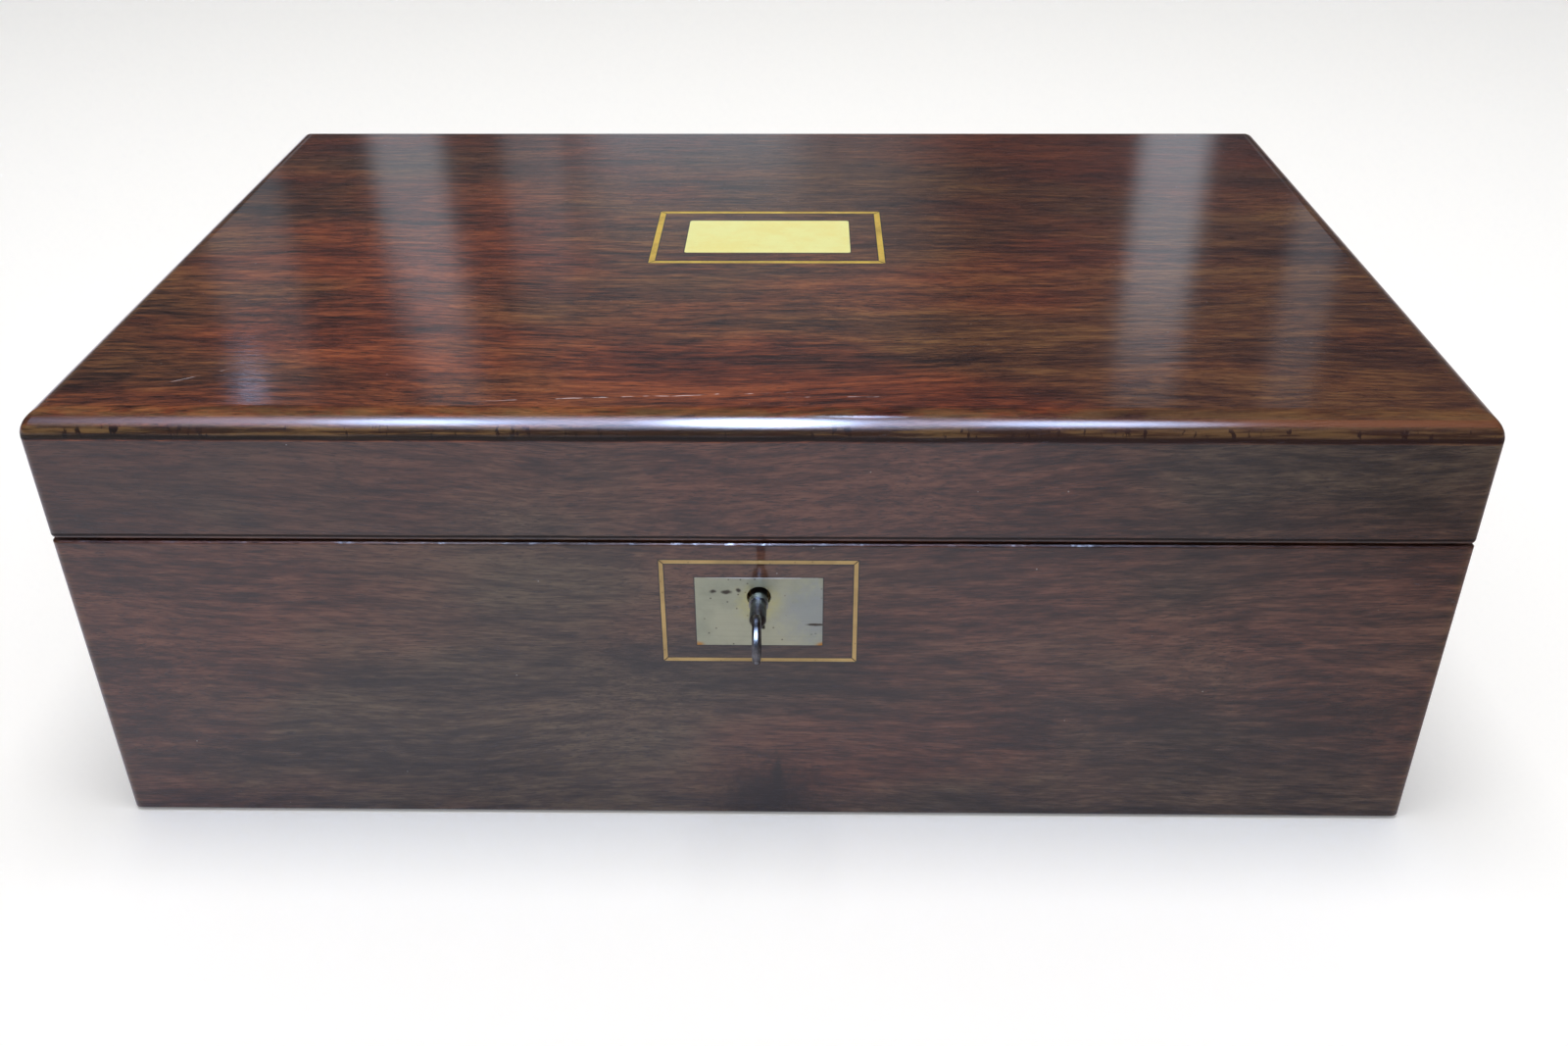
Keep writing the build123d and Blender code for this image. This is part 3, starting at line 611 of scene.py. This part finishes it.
def steel():
    """Dark handled steel of the key."""
    dark, bright = (0.06, 0.06, 0.06, 1), (0.26, 0.26, 0.27, 1)
    material, tree, shader, place = new_surface("dark_steel")
    patches = noise(tree, place, 160.0, 5.0, 0.7)
    wire(tree, shader, {
        "Base Color": ramp(tree, patches, [(0.35, dark), (0.66, bright)]),
        "Metallic": 1.0,
        "Roughness": between(tree, patches, 0.42, 0.2),
        "Normal": bump(tree, patches, 0.06 * MM),
    })
    return material


def ink_glass():
    """Thick clear glass with a faint green cast and dried ink low on the wall."""
    clear, ink = (0.86, 0.94, 0.91, 1), (0.06, 0.07, 0.13, 1)
    material, tree, shader, place = new_surface("bottle_glass")
    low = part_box("left_ink_bottle")[0].z
    ragged = times(tree, noise(tree, place, (130.0, 130.0, 60.0)), 12 * MM)
    height = split(tree, place)["Z"]
    stain = fade(tree, minus(tree, height, ragged), low + 6 * MM, low)
    wire(tree, shader, {
        "Base Color": mix(tree, stain, clear, ink),
        "Roughness": between(tree, stain, 0.03, 0.35),
        "Transmission Weight": 1.0,
        "IOR": 1.5,
    })
    return material


def hide(name, deep, pale, *, tooled):
    """Old leather: pebbled grain, fading, scuffs and, where tooled, gilt border lines."""
    material, tree, shader, place = new_surface(name)
    pebbles = cells(tree, place, 900.0)
    fading = noise(tree, place, 9.0, 5.0, 0.6)
    scuffs = fade(tree, noise(tree, place, (40.0, 150.0, 150.0), 4.0, 0.7), 0.62, 0.74)
    colour = ramp(tree, fading, [(0.35, deep), (0.66, pale)])
    colour = mix(tree, times(tree, scuffs, 0.35), colour, shaded(pale, 1.9))
    height = minus(tree, times(tree, pebbles, 0.5), scuffs)
    if tooled:
        gilt = tooling(tree, place)
        colour = mix(tree, gilt, colour, GILT)
        height = minus(tree, height, times(tree, gilt, 2.0))
    wire(tree, shader, {
        "Base Color": colour,
        "Roughness": between(tree, fading, 0.52, 0.72),
        "Specular IOR Level": 0.3,
        "Normal": bump(tree, height, 0.12 * MM),
    })
    return material


def tooling(tree, place):
    """Two gilt lines with a row of small dots between them, rubbed thin in places."""
    line_shapes = ((5 * MM, 0.55 * MM), (11 * MM, 0.35 * MM))
    dots_in, dot_step = 8 * MM, 5 * MM
    parts = split(tree, add(tree, "ShaderNodeUVMap", uv_map="edge").outputs["UV"])
    distance, run = parts["X"], parts["Y"]
    lines = [
        fade(tree, apart(tree, distance, line_in), width, width * 0.6)
        for line_in, width in line_shapes
    ]
    beat = apart(tree, maths(tree, "FRACT", maths(tree, "DIVIDE", run, dot_step)), 0.5)
    across = maths(tree, "DIVIDE", apart(tree, distance, dots_in), dot_step)
    lines.append(fade(tree, plus(tree, beat, across), 0.30, 0.22))
    worn = fade(tree, noise(tree, place, 60.0, 4.0), 0.36, 0.52)
    return times(tree, greatest(tree, lines), worn)


def silk():
    """Ribbed silk ribbon."""
    deep, faded = (0.16, 0.016, 0.022, 1), (0.36, 0.06, 0.06, 1)
    rib_step, thread_step = 0.55 * MM, 0.35 * MM
    material, tree, shader, place = new_surface("silk_ribbon")
    parts = split(tree, place)
    ribs = maths(tree, "SINE", times(tree, parts["Y"], math.tau / rib_step))
    threads = maths(tree, "SINE", times(tree, parts["X"], math.tau / thread_step))
    fading = noise(tree, place, 120.0, 4.0)
    wire(tree, shader, {
        "Base Color": ramp(tree, fading, [(0.3, deep), (0.7, faded)]),
        "Roughness": 0.55,
        "Sheen Weight": 0.4,
        "Normal": bump(tree, plus(tree, ribs, times(tree, threads, 0.4)), 0.05 * MM),
    })
    return material


# Meshes

def new_piece(name, mesh_data, material):
    piece = bpy.data.objects.new(name, mesh_data)
    bpy.context.scene.collection.objects.link(piece)
    piece.data.materials.append(material)
    return piece


def rim_points(node):
    """The node's points in the rim's own axes."""
    return [RIM.inverted() @ vertex.co for vertex in NODES[node].data.vertices]


def rim_box(node):
    """Lowest and highest corner of a node in the rim's axes: x, back along the rim, off the rim."""
    turned = rim_points(node)
    low = Vector([min(point[axis] for point in turned) for axis in range(3)])
    high = Vector([max(point[axis] for point in turned) for axis in range(3)])
    return low, high


def skin(name, sections, columns, half_width, thick, edge_round):
    """Thin sheet along a line of (along, off) points in the rim's axes, drawn out along X."""
    rows = []
    count = len(sections)
    for index, (along, off) in enumerate(sections):
        before, after = sections[max(index - 1, 0)], sections[min(index + 1, count - 1)]
        tangent = Vector((0, after[0] - before[0], after[1] - before[1])).normalized()
        normal = Vector((0, -tangent.z, tangent.y))
        rows.append((Vector((0, along, off)), normal))
    mesh = bmesh.new()
    layers = []
    for face in (1, -1):
        layer = []
        for middle, normal in rows:
            line = []
            for column in range(columns + 1):
                x = half_width * (2 * column / columns - 1)
                near_edge = min(column, columns - column) == 0
                lift = thick / 2 - (edge_round if near_edge else 0)
                line.append(mesh.verts.new(middle + Vector((x, 0, 0)) + normal * lift * face))
            layer.append(line)
        layers.append(layer)
    close_layers(mesh, layers)
    mesh.transform(RIM)
    bmesh.ops.recalc_face_normals(mesh, faces=mesh.faces)
    data = bpy.data.meshes.new(name)
    mesh.to_mesh(data)
    mesh.free()
    data.shade_smooth()
    return data


def close_layers(mesh, layers):
    """Faces over both layers of a sheet and round its edge."""
    top, under = layers
    rows, columns = range(len(top) - 1), range(len(top[0]) - 1)
    for layer in layers:
        for row in rows:
            near, far = layer[row], layer[row + 1]
            for column in columns:
                mesh.faces.new((near[column], near[column + 1], far[column + 1], far[column]))
    for row in rows:
        for side in (0, -1):
            upper = (top[row][side], top[row + 1][side])
            mesh.faces.new((*upper, under[row + 1][side], under[row][side]))
    for column in columns:
        for end in (0, -1):
            over, below = top[end], under[end]
            mesh.faces.new((over[column], over[column + 1], below[column + 1], below[column]))


def edge_map(data, half, low, high):
    """UV layer with the distance from the sheet's edge and the run along that edge, in metres."""
    layer = data.uv_layers.new(name="edge")
    inverse = RIM.inverted()
    for loop in data.loops:
        point = inverse @ data.vertices[loop.vertex_index].co
        side, end = half - abs(point.x), min(point.y - low, high - point.y)
        layer.data[loop.index].uv = (side, point.y) if side < end else (end, point.x)


def writing_leather(node, body, material):
    """Leather laid in a flap's recess, very slightly uneven, as old skin is."""
    low, high = rim_box(node)
    half, middle = high.x, (low.z + high.z) / 2
    gap = LEATHER_GAP
    start, end = low.y + gap, high.y - gap
    steps = 40
    random.seed(5)
    sections = [(start + (end - start) * step / steps, middle) for step in range(steps + 1)]
    thick = high.z - low.z - LEATHER_SUNK
    data = skin(node + "_hide", sections, 60, half - gap, thick, LEATHER_EDGE)
    for vertex in data.vertices:
        vertex.co += RIM_NORMAL * random.uniform(-0.03, 0.03) * MM
    edge_map(data, half - gap, start, end)
    piece = new_piece(node + "_hide", data, material)
    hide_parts(node)
    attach(piece, body)
    return piece


def fold_leather(material):
    """One strip of leather from the base's back rim, round the fold, to the lid's back rim."""
    base_low, base_high = rim_box("base_fold_leather")
    spine_low, spine_high = rim_box("fold_spine")
    off = (base_low.z + base_high.z) / 2
    back = (spine_low.y + spine_high.y) / 2
    thick = spine_high.y - spine_low.y
    bend, front = FOLD_BEND, base_low.y
    run_steps, turn_steps = 8, 4
    run = back - bend - front
    flat_run = [(front + run * step / run_steps, off) for step in range(run_steps + 1)]
    turn = [
        (back - bend + bend * math.sin(angle), off + bend - bend * math.cos(angle))
        for angle in (math.pi / 2 / turn_steps * step for step in range(1, turn_steps + 1))
    ]
    lower = flat_run + turn + [(back, off / 2)]
    upper = [(along, -height) for along, height in reversed(lower)]
    sections = lower + [(back, 0.0)] + upper
    data = skin("fold_leather", sections, 48, base_high.x, thick * 0.92, FOLD_EDGE)
    piece = new_piece("fold_leather", data, material)
    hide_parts("fold_spine", "base_fold_leather", "lid_fold_leather")
    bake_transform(piece)
    return piece


def ribbon_tab(node, body, material):
    """Silk tab glued along a flap's free edge, its end cut round and a little lifted."""
    low, high = rim_box(node)
    rest = high.z if abs(high.z) > abs(low.z) else low.z
    free = low.z + high.z - rest
    outward = 1 if free > rest else -1
    thick = abs(free - rest) * 0.7
    steps = 14
    sections = []
    for step in range(steps + 1):
        share = step / steps
        lift = thick / 2 + TAB_RIPPLE * math.sin(share * math.pi * 2.5) ** 2
        sections.append((low.y + (high.y - low.y) * share, rest + outward * lift))
    data = skin(node + "_silk", sections, 12, high.x, thick, TAB_EDGE)
    round_tab_end(data, high)
    piece = new_piece(node + "_silk", data, material)
    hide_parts(node)
    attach(piece, body)
    return piece


def round_tab_end(data, high):
    """Draws the last rows of a tab in to a round end."""
    inverse = RIM.inverted()
    radius = high.x
    for vertex in data.vertices:
        point = inverse @ vertex.co
        past = point.y - (high.y - radius)
        if past > 0:
            share = min(past / radius, 1.0)
            point.x *= max(math.sqrt(1 - share * share), 0.15)
            vertex.co = RIM @ point


# Screws

def screw_form(radius, proud):
    """Countersunk screw head with a filed slot, its flat side on z = 0."""
    mesh = bmesh.new()
    top_radius = radius * 0.93
    bmesh.ops.create_cone(
        mesh, cap_ends=True, segments=28, radius1=radius, radius2=top_radius, depth=proud)
    bmesh.ops.translate(mesh, verts=mesh.verts, vec=(0, 0, proud / 2))
    head = bpy.data.meshes.new("screw_head")
    mesh.to_mesh(head)
    mesh.clear()
    bmesh.ops.create_cube(mesh, size=1.0)
    bmesh.ops.scale(mesh, verts=mesh.verts, vec=(radius * 2.4, radius * 0.26, proud))
    bmesh.ops.translate(mesh, verts=mesh.verts, vec=(0, 0, proud * 0.75))
    bar = bpy.data.meshes.new("screw_slot")
    mesh.to_mesh(bar)
    mesh.free()
    return cut(head, bar)


def cut(body, tool):
    """Mesh of one form with the other taken away."""
    whole = bpy.data.objects.new("whole", body)
    cutter = bpy.data.objects.new("cutter", tool)
    for piece in (whole, cutter):
        bpy.context.scene.collection.objects.link(piece)
    modifier = whole.modifiers.new("cut", "BOOLEAN")
    modifier.object = cutter
    modifier.operation = "DIFFERENCE"
    bpy.context.view_layer.update()
    evaluated = whole.evaluated_get(bpy.context.evaluated_depsgraph_get())
    result = bpy.data.meshes.new_from_object(evaluated)
    for piece in (whole, cutter):
        bpy.data.objects.remove(piece)
    return result


def screws(name, body, places, radius, material):
    """Screw heads at the given places, each a matrix whose Z points out of the metal."""
    form = screw_form(radius, SCREW_PROUD)
    mesh = bmesh.new()
    random.seed(name)
    for place in places:
        turned = form.copy()
        turned.transform(place @ Matrix.Rotation(random.uniform(0, math.pi), 4, "Z"))
        mesh.from_mesh(turned)
    data = bpy.data.meshes.new(name)
    mesh.to_mesh(data)
    mesh.free()
    piece = new_piece(name, data, material)
    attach(piece, body)
    return piece


def leaf_places(side_name, up):
    """Three screw places on each hinge leaf of one side."""
    places = []
    for hand in ("left", "right"):
        leaf = f"{hand}_hinge_{side_name}_leaf"
        low, high = rim_box(leaf)
        for share in (1 / 6, 1 / 2, 5 / 6):
            x = low.x + (high.x - low.x) * share
            spot = Vector((x, low.y + HINGE_SCREW_IN, level_of(leaf, up)))
            places.append(RIM @ Matrix.Translation(spot) @ facing(up))
    return places


def level_of(node, up):
    """Height off the rim of a leaf's open face, found well away from its knuckles."""
    turned = rim_points(node)
    front = min(point.y for point in turned)
    levels = [point.z for point in turned if point.y < front + MM]
    return max(levels) if up > 0 else min(levels)


def facing(up):
    """Turn that points a screw head off the base's rim, or the other way."""
    return Matrix.Identity(4) if up > 0 else Matrix.Rotation(math.pi, 4, "X")


def plate_places():
    """Four places near the corners of the lock's plate."""
    low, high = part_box("lock_plate")
    case_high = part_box("lock_case")[1]
    x = (case_high.x + high.x) / 2
    face = case_high.y + 1.2 * MM
    places = []
    for hand in (-1, 1):
        for z in (low.z + 4.5 * MM, case_high.z - 5.0 * MM):
            inward = Matrix.Rotation(-math.pi / 2, 4, "X")
            places.append(Matrix.Translation((hand * x, face, z)) @ inward)
    return places


def link_places():
    """Two places near the ends of the link plate."""
    low, high = rim_box("link_plate")
    level = level_of("link_plate", -1)
    middle = (low.y + high.y) / 2
    spots_at = [Vector((share * high.x, middle, level)) for share in (-0.82, 0.82)]
    return [RIM @ Matrix.Translation(spot) @ facing(-1) for spot in spots_at]


# Studio

def sight(tree, direction):
    """Azimuth from +Y towards +X and elevation of a direction, in radians."""
    parts = split(tree, direction)
    azimuth = maths(tree, "ARCTAN2", parts["X"], parts["Y"])
    return azimuth, maths(tree, "ARCSINE", parts["Z"]), parts


def streak(tree, azimuth, elevation, centre, half_width, low, high, strength):
    """Soft upright bar of light in the room behind the box."""
    aside = apart(tree, azimuth, centre)
    bar = fade(tree, aside, half_width * 1.35, half_width * 0.65)
    foot = fade(tree, elevation, low - 0.06, low)
    head = fade(tree, elevation, high + 0.10, high - 0.04)
    return times(tree, times(tree, bar, times(tree, foot, head)), strength)


def lens(tree, sideways, over, centre, half_width, half_height, strength):
    """Round light, brightest in its middle; centre is its sideways and its over value."""
    aside = maths(tree, "DIVIDE", minus(tree, sideways, centre[0]), half_width)
    above = maths(tree, "DIVIDE", minus(tree, over, centre[1]), half_height)
    squares = [maths(tree, "POWER", part, 2.0) for part in (aside, above)]
    far = maths(tree, "SQRT", total(tree, squares))
    return times(tree, fade(tree, far, 1.0, 0.0), strength)


def ceiling(tree, parts):
    """All the round lights of the room."""
    sideways, over = parts["X"], maths(tree, "ARCTAN2", parts["Z"], parts["Y"])
    return total(tree, [lens(tree, sideways, over, *light) for light in ROUND_LIGHTS])


def room(tree, direction):
    """What polished surfaces see: a dim room with a few tall pale openings at the back."""
    azimuth, elevation, parts = sight(tree, direction)
    glow = total(tree, [streak(tree, azimuth, elevation, *opening) for opening in OPENINGS])
    lit = scaled(tree, ROOM_BRIGHT[:3], glow)
    above = scaled(tree, LIGHT_BLUE[:3], ceiling(tree, parts))
    lit = vector_maths(tree, "ADD", lit, above)
    return vector_maths(tree, "ADD", lit, ROOM_DARK[:3])


def studio_world():
    """Pale backdrop for the camera, soft light for matt surfaces, a dim room for polished ones."""
    world = bpy.data.worlds.new("studio")
    world.use_nodes = True
    tree = world.node_tree
    tree.nodes.clear()
    direction = add(tree, "ShaderNodeTexCoord").outputs["Generated"]
    path = add(tree, "ShaderNodeLightPath").outputs
    colour = mix(tree, path["Is Glossy Ray"], SOFT_LIGHT, room(tree, direction))
    colour = mix(tree, path["Is Camera Ray"], colour, BACKDROP)
    background = add(tree, "ShaderNodeBackground", {"Color": colour})
    output = add(tree, "ShaderNodeOutputWorld")
    tree.links.new(background.outputs[0], output.inputs["Surface"])
    bpy.context.scene.world = world


def lamp():
    """One large soft lamp overhead, so that the box shades the floor all round it.

    Polished surfaces see the room instead of it.
    """
    data = bpy.data.lights.new("soft_lamp", "AREA")
    data.shape = "RECTANGLE"
    data.size, data.size_y = LAMP_SIZE
    data.energy = LAMP_ENERGY
    data.color = LAMP_COLOUR
    light = bpy.data.objects.new("soft_lamp", data)
    light.location = LAMP_PLACE
    light.rotation_euler = (LAMP_TARGET - LAMP_PLACE).to_track_quat("-Z", "Y").to_euler()
    light.visible_glossy = False
    bpy.context.scene.collection.objects.link(light)


def floor_piece():
    """Plain pale floor that fades into the backdrop far off.

    Polished wood mirrors it dimmer, unevenly and darkest to the right.
    """
    material, tree, shader, place = new_surface("pale_floor")
    parts = split(tree, place)
    colour = mix(tree, fade(tree, parts["Y"], -0.1, 1.1), FLOOR_NEAR, FLOOR_FAR)
    path = add(tree, "ShaderNodeLightPath").outputs
    uneven = noise(tree, place, 4.0, 2.0)
    dim = plus(tree, fade(tree, parts["X"], 0.02, 0.34), minus(tree, uneven, 0.5))
    mirrored = ramp(tree, dim, [(0.0, FLOOR_MIRRORED), (1.0, FLOOR_MIRRORED_DIM)])
    lift = fade(tree, vector_length(tree, place), FLOOR_LIFT_FROM, FLOOR_LIFT_TO)
    wire(tree, shader, {
        "Base Color": mix(tree, path["Is Glossy Ray"], colour, mirrored),
        "Roughness": 0.9,
        "Specular IOR Level": 0.1,
        "Emission Color": mix(tree, lift, FLOOR_LIFT_NEAR, FLOOR_LIFT_FAR),
        "Emission Strength": path["Is Camera Ray"],
    })
    mesh = bmesh.new()
    bmesh.ops.create_grid(mesh, x_segments=2, y_segments=2, size=FLOOR_SIZE / 2)
    data = bpy.data.meshes.new("floor")
    mesh.to_mesh(data)
    mesh.free()
    floor = bpy.data.objects.new("floor", data)
    floor.location.z = -FLOOR_DROP
    floor.data.materials.append(material)
    bpy.context.scene.collection.objects.link(floor)


def camera():
    """Camera at the photograph's place, looking down at the box from the lock side."""
    data = bpy.data.cameras.new("photo_camera")
    data.sensor_width = SENSOR_WIDTH
    data.lens = CAMERA_LENS
    data.clip_start = 0.01
    turn = Matrix.Rotation(CAMERA_LEFT, 4, "Z") @ Matrix.Rotation(math.pi / 2 - CAMERA_DOWN, 4, "X")
    piece = bpy.data.objects.new("photo_camera", data)
    roll = Matrix.Rotation(CAMERA_ROLL, 4, "Z")
    piece.matrix_world = Matrix.Translation(CAMERA_PLACE) @ turn @ roll
    bpy.context.scene.collection.objects.link(piece)
    bpy.context.scene.camera = piece


# Finishes on the CAD nodes

def paint(material, *names):
    for name in names:
        mesh = NODES[name].data
        mesh.materials.clear()
        mesh.materials.append(material)


def flat_or_smooth(names, angle):
    """Smooth shading over the facets of round faces, with real edges kept sharp."""
    for name in names:
        NODES[name].data.shade_smooth()
        NODES[name].data.set_sharp_from_angle(angle=angle)


def seams(frame_node, plate_node, up, line_width):
    """Glue lines outside and inside an inlaid frame, and round the plate within it."""
    shapes = []
    low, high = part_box(frame_node)
    plate_low, plate_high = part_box(plate_node)
    rectangles = ((low, high, 0.0), (low, high, -line_width), (plate_low, plate_high, 0.0))
    for start, end, grow in rectangles:
        middle, half = (start + end) / 2, (end - start) / 2
        reach = (half.x + grow, half[up] + grow)
        shapes.append((seam, GRIME_AND_SHADE, ((0, up), (middle.x, middle[up]), reach, SEAM_WIDTH)))
    return shapes


def top_marks():
    """Redder and darker parts, cracks and the glue lines round the brass, on the lid's top."""
    return [
        (toward, DEEP_RED, ("X", -0.02, 0.12, 0.30)),
        (toward, DARK_STREAK_AND_REFLECTION, ("Y", -0.03, 0.11, 0.38)),
        (scratch, CRACK, ((-0.082, -0.1216, TOP_Z), (0.012, -0.1152, TOP_Z), 0.17 * MM)),
        (scratch, CRACK, ((0.007, -0.1184, TOP_Z), (0.040, -0.1176, TOP_Z), 0.14 * MM)),
        (scratch, CRACK, ((-0.168, -0.1122, TOP_Z), (-0.150, -0.1010, TOP_Z), 0.12 * MM)),
    ] + seams("top_stringing", "top_plate", 1, TOP_LINE_WIDTH)


def front_marks():
    """A crack, a painted dark reflection below the key plate and the glue lines round the brass."""
    return [
        (scratch, GRIME_AND_SHADE, ((0.138, -HALF_Y, 0.0438), (0.1803, -HALF_Y, 0.0463), 0.32 * MM)),
        # Painted dark reflection: a broad soft patch and a narrow upright streak low on the front
        (blot, DARK_STREAK_AND_REFLECTION, ((2 * MM, -HALF_Y, 8 * MM), (26 * MM, 4 * MM, 22 * MM), 1.0)),
        (blot, DARK_STREAK_AND_REFLECTION, ((4.8 * MM, -HALF_Y, 12 * MM), (1.8 * MM, 4 * MM, 16 * MM), 0.6)),
    ] + seams("front_stringing", "escutcheon", 2, FRONT_LINE_WIDTH)


def lid_marks():
    """The lid's front darkens toward both ends."""
    return [
        (toward, DARK_STREAK_AND_REFLECTION, ("X", -0.03, -0.19, 0.45)),
        (toward, DARK_STREAK_AND_REFLECTION, ("X", 0.08, 0.19, 0.12)),
    ]


def dress_wood():
    long_grain, end_grain = (1, 0, 0), (0, 1, 0)
    lid_wood = rosewood("rosewood_lid", long_grain, WALL_PALETTE, lid_marks())
    front_wood = rosewood("rosewood_front", long_grain, WALL_PALETTE, front_marks())
    long_wood = rosewood("rosewood_long", long_grain, WALL_PALETTE)
    top_wood = rosewood("rosewood_top", long_grain, TOP_PALETTE, top_marks())
    end_wood = rosewood("rosewood_end", end_grain, WALL_PALETTE)
    paint(front_wood, "base_front")
    paint(lid_wood, "lid_front")
    paint(long_wood, "base_back", "lid_back")
    paint(top_wood, "lid_top", "lid_top_veneer")
    paint(end_wood, "base_left_end", "base_right_end", "lid_left_end", "lid_right_end")
    inner = mahogany("mahogany_long", long_grain)
    paint(inner, "base_bottom", "base_bearers", "upper_flap_board")
    paint(inner, "lid_bearers", "lower_flap_board")
    paint(inner, "band_rail", "pen_tray", "left_well_floor", "right_well_floor")
    across = mahogany("mahogany_across", end_grain)
    paint(across, "left_well_divider", "right_well_divider", "tray_rests")


def escutcheon_marks():
    """Stains on the key plate: dark spots, a scratch, yellow rubbed parts and rusty corners, and a
    painted highlight along its top edge.
    """
    low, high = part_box("escutcheon")
    face, level = low.y, JOINTS["key_turn"]["pos_m"][2]
    dark, rust, painted_highlight = (0.07, 0.06, 0.045, 1), (0.46, 0.22, 0.05, 1), (0.80, 0.80, 0.78, 1)
    yellow, grey = (0.47, 0.44, 0.20, 1), (0.33, 0.345, 0.30, 1)
    thin = 2 * MM
    spots_at = [
        (grey, (high.x, face, level - 5 * MM), (18 * MM, thin, 14 * MM), 0.7),
        (yellow, (0, face, level - 2 * MM), (9 * MM, thin, 8 * MM), 1.0),
        # Painted highlight along the plate's top edge
        (painted_highlight, (0, face, high.z), (high.x + MM, thin, 0.30 * MM), 0.5),
        (dark, (-13.1 * MM, face, level + 1.9 * MM), (1.3 * MM, thin, 0.8 * MM), 0.7),
        (dark, (-9.2 * MM, face, level + 1.7 * MM), (2.0 * MM, thin, 1.1 * MM), 0.7),
        (dark, (-5.8 * MM, face, level + 2.2 * MM), (1.0 * MM, thin, 1.0 * MM), 0.7),
        (dark, (high.x - 2 * MM, face, level - 9.6 * MM), (3.2 * MM, thin, 0.5 * MM), 0.4),
        (rust, (low.x, face, low.z), (3.2 * MM, thin, 1.7 * MM), 0.9),
        (rust, (high.x, face, low.z), (2.6 * MM, thin, 1.4 * MM), 0.9),
    ]
    return [(blot, colour, (middle, reach, soft)) for colour, middle, reach, soft in spots_at]


def mitres(node, up):
    """The dark joints at the four corners of an inlaid frame."""
    low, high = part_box(node)
    middle, half = (low + high) / 2, (high - low) / 2
    shape = ((0, up), (middle.x, middle[up]), (half.x, half[up]), MITRE_WIDTH)
    return [(mitre, MITRE_DARK, shape)]


def inlaid_brass():
    """The bare plate, the lines round it and round the key plate, and the key plate itself."""
    plate = brass(
        "bright_plate_brass", (1.0, 0.98, 0.42, 1), (0.98, 0.90, 0.34, 1),
        spotted=0.08, roughness=0.38, metallic=0.25)
    top_line = brass(
        "top_string_brass", (0.88, 0.62, 0.12, 1), (0.58, 0.38, 0.09, 1),
        spotted=0.2, roughness=0.42, metallic=0.4, marks=mitres("top_stringing", 1))
    front_line = brass(
        "front_string_brass", (0.53, 0.37, 0.15, 1), (0.42, 0.29, 0.12, 1),
        spotted=0.3, roughness=0.42, metallic=0.8, marks=mitres("front_stringing", 2))
    key_plate = brass(
        "aged_brass", (0.40, 0.40, 0.285, 1), (0.34, 0.35, 0.25, 1),
        spotted=0.6, roughness=0.42, marks=escutcheon_marks())
    paint(plate, "top_plate")
    paint(top_line, "top_stringing")
    paint(front_line, "front_stringing")
    paint(key_plate, "escutcheon")


def dress_metal():
    inlaid_brass()
    cast = brass(
        "cast_brass", (0.66, 0.49, 0.22, 1), (0.36, 0.25, 0.11, 1),
        spotted=0.5, roughness=0.33)
    cap = brass(
        "cap_brass", (0.52, 0.38, 0.16, 1), (0.30, 0.21, 0.09, 1),
        spotted=0.6, roughness=0.5)
    iron = steel()
    paint(cast, "lock_case", "lock_plate", "link_plate", "hinge_pins")
    paint(cast, "catch_pins", "left_flap_catch", "right_flap_catch")
    for hand in ("left", "right"):
        paint(cast, f"{hand}_hinge_base_leaf", f"{hand}_hinge_lid_leaf")
    paint(cap, "left_ink_cap", "right_ink_cap")
    paint(iron, "key", "lock_bolt", "drill_pin")
    screws("base_hinge_screws", "base", leaf_places("base", 1), HINGE_SCREW, cast)
    screws("lid_hinge_screws", "lid", leaf_places("lid", -1), HINGE_SCREW, cast)
    screws("lock_screws", "base", plate_places(), LOCK_SCREW, iron)
    screws("link_screws", "lid", link_places(), LINK_SCREW, iron)


def dress_soft():
    green = hide(
        "tooled_hide", (0.012, 0.035, 0.018, 1), (0.035, 0.085, 0.045, 1), tooled=True)
    plain = hide(
        "fold_hide", (0.012, 0.030, 0.016, 1), (0.035, 0.070, 0.040, 1), tooled=False)
    red = silk()
    writing_leather("upper_flap_leather", "upper_flap", green)
    writing_leather("lower_flap_leather", "lower_flap", green)
    fold_leather(plain)
    ribbon_tab("upper_flap_tab", "upper_flap", red)
    ribbon_tab("lower_flap_tab", "lower_flap", red)


def dress_glass():
    paint(ink_glass(), "left_ink_bottle", "right_ink_bottle")


bpy.context.scene.view_settings.view_transform = "Standard"
camera()
floor_piece()
studio_world()
lamp()
dress_wood()
dress_metal()
dress_soft()
dress_glass()
flat_or_smooth(sorted(NODES), SHARP_ANGLE)
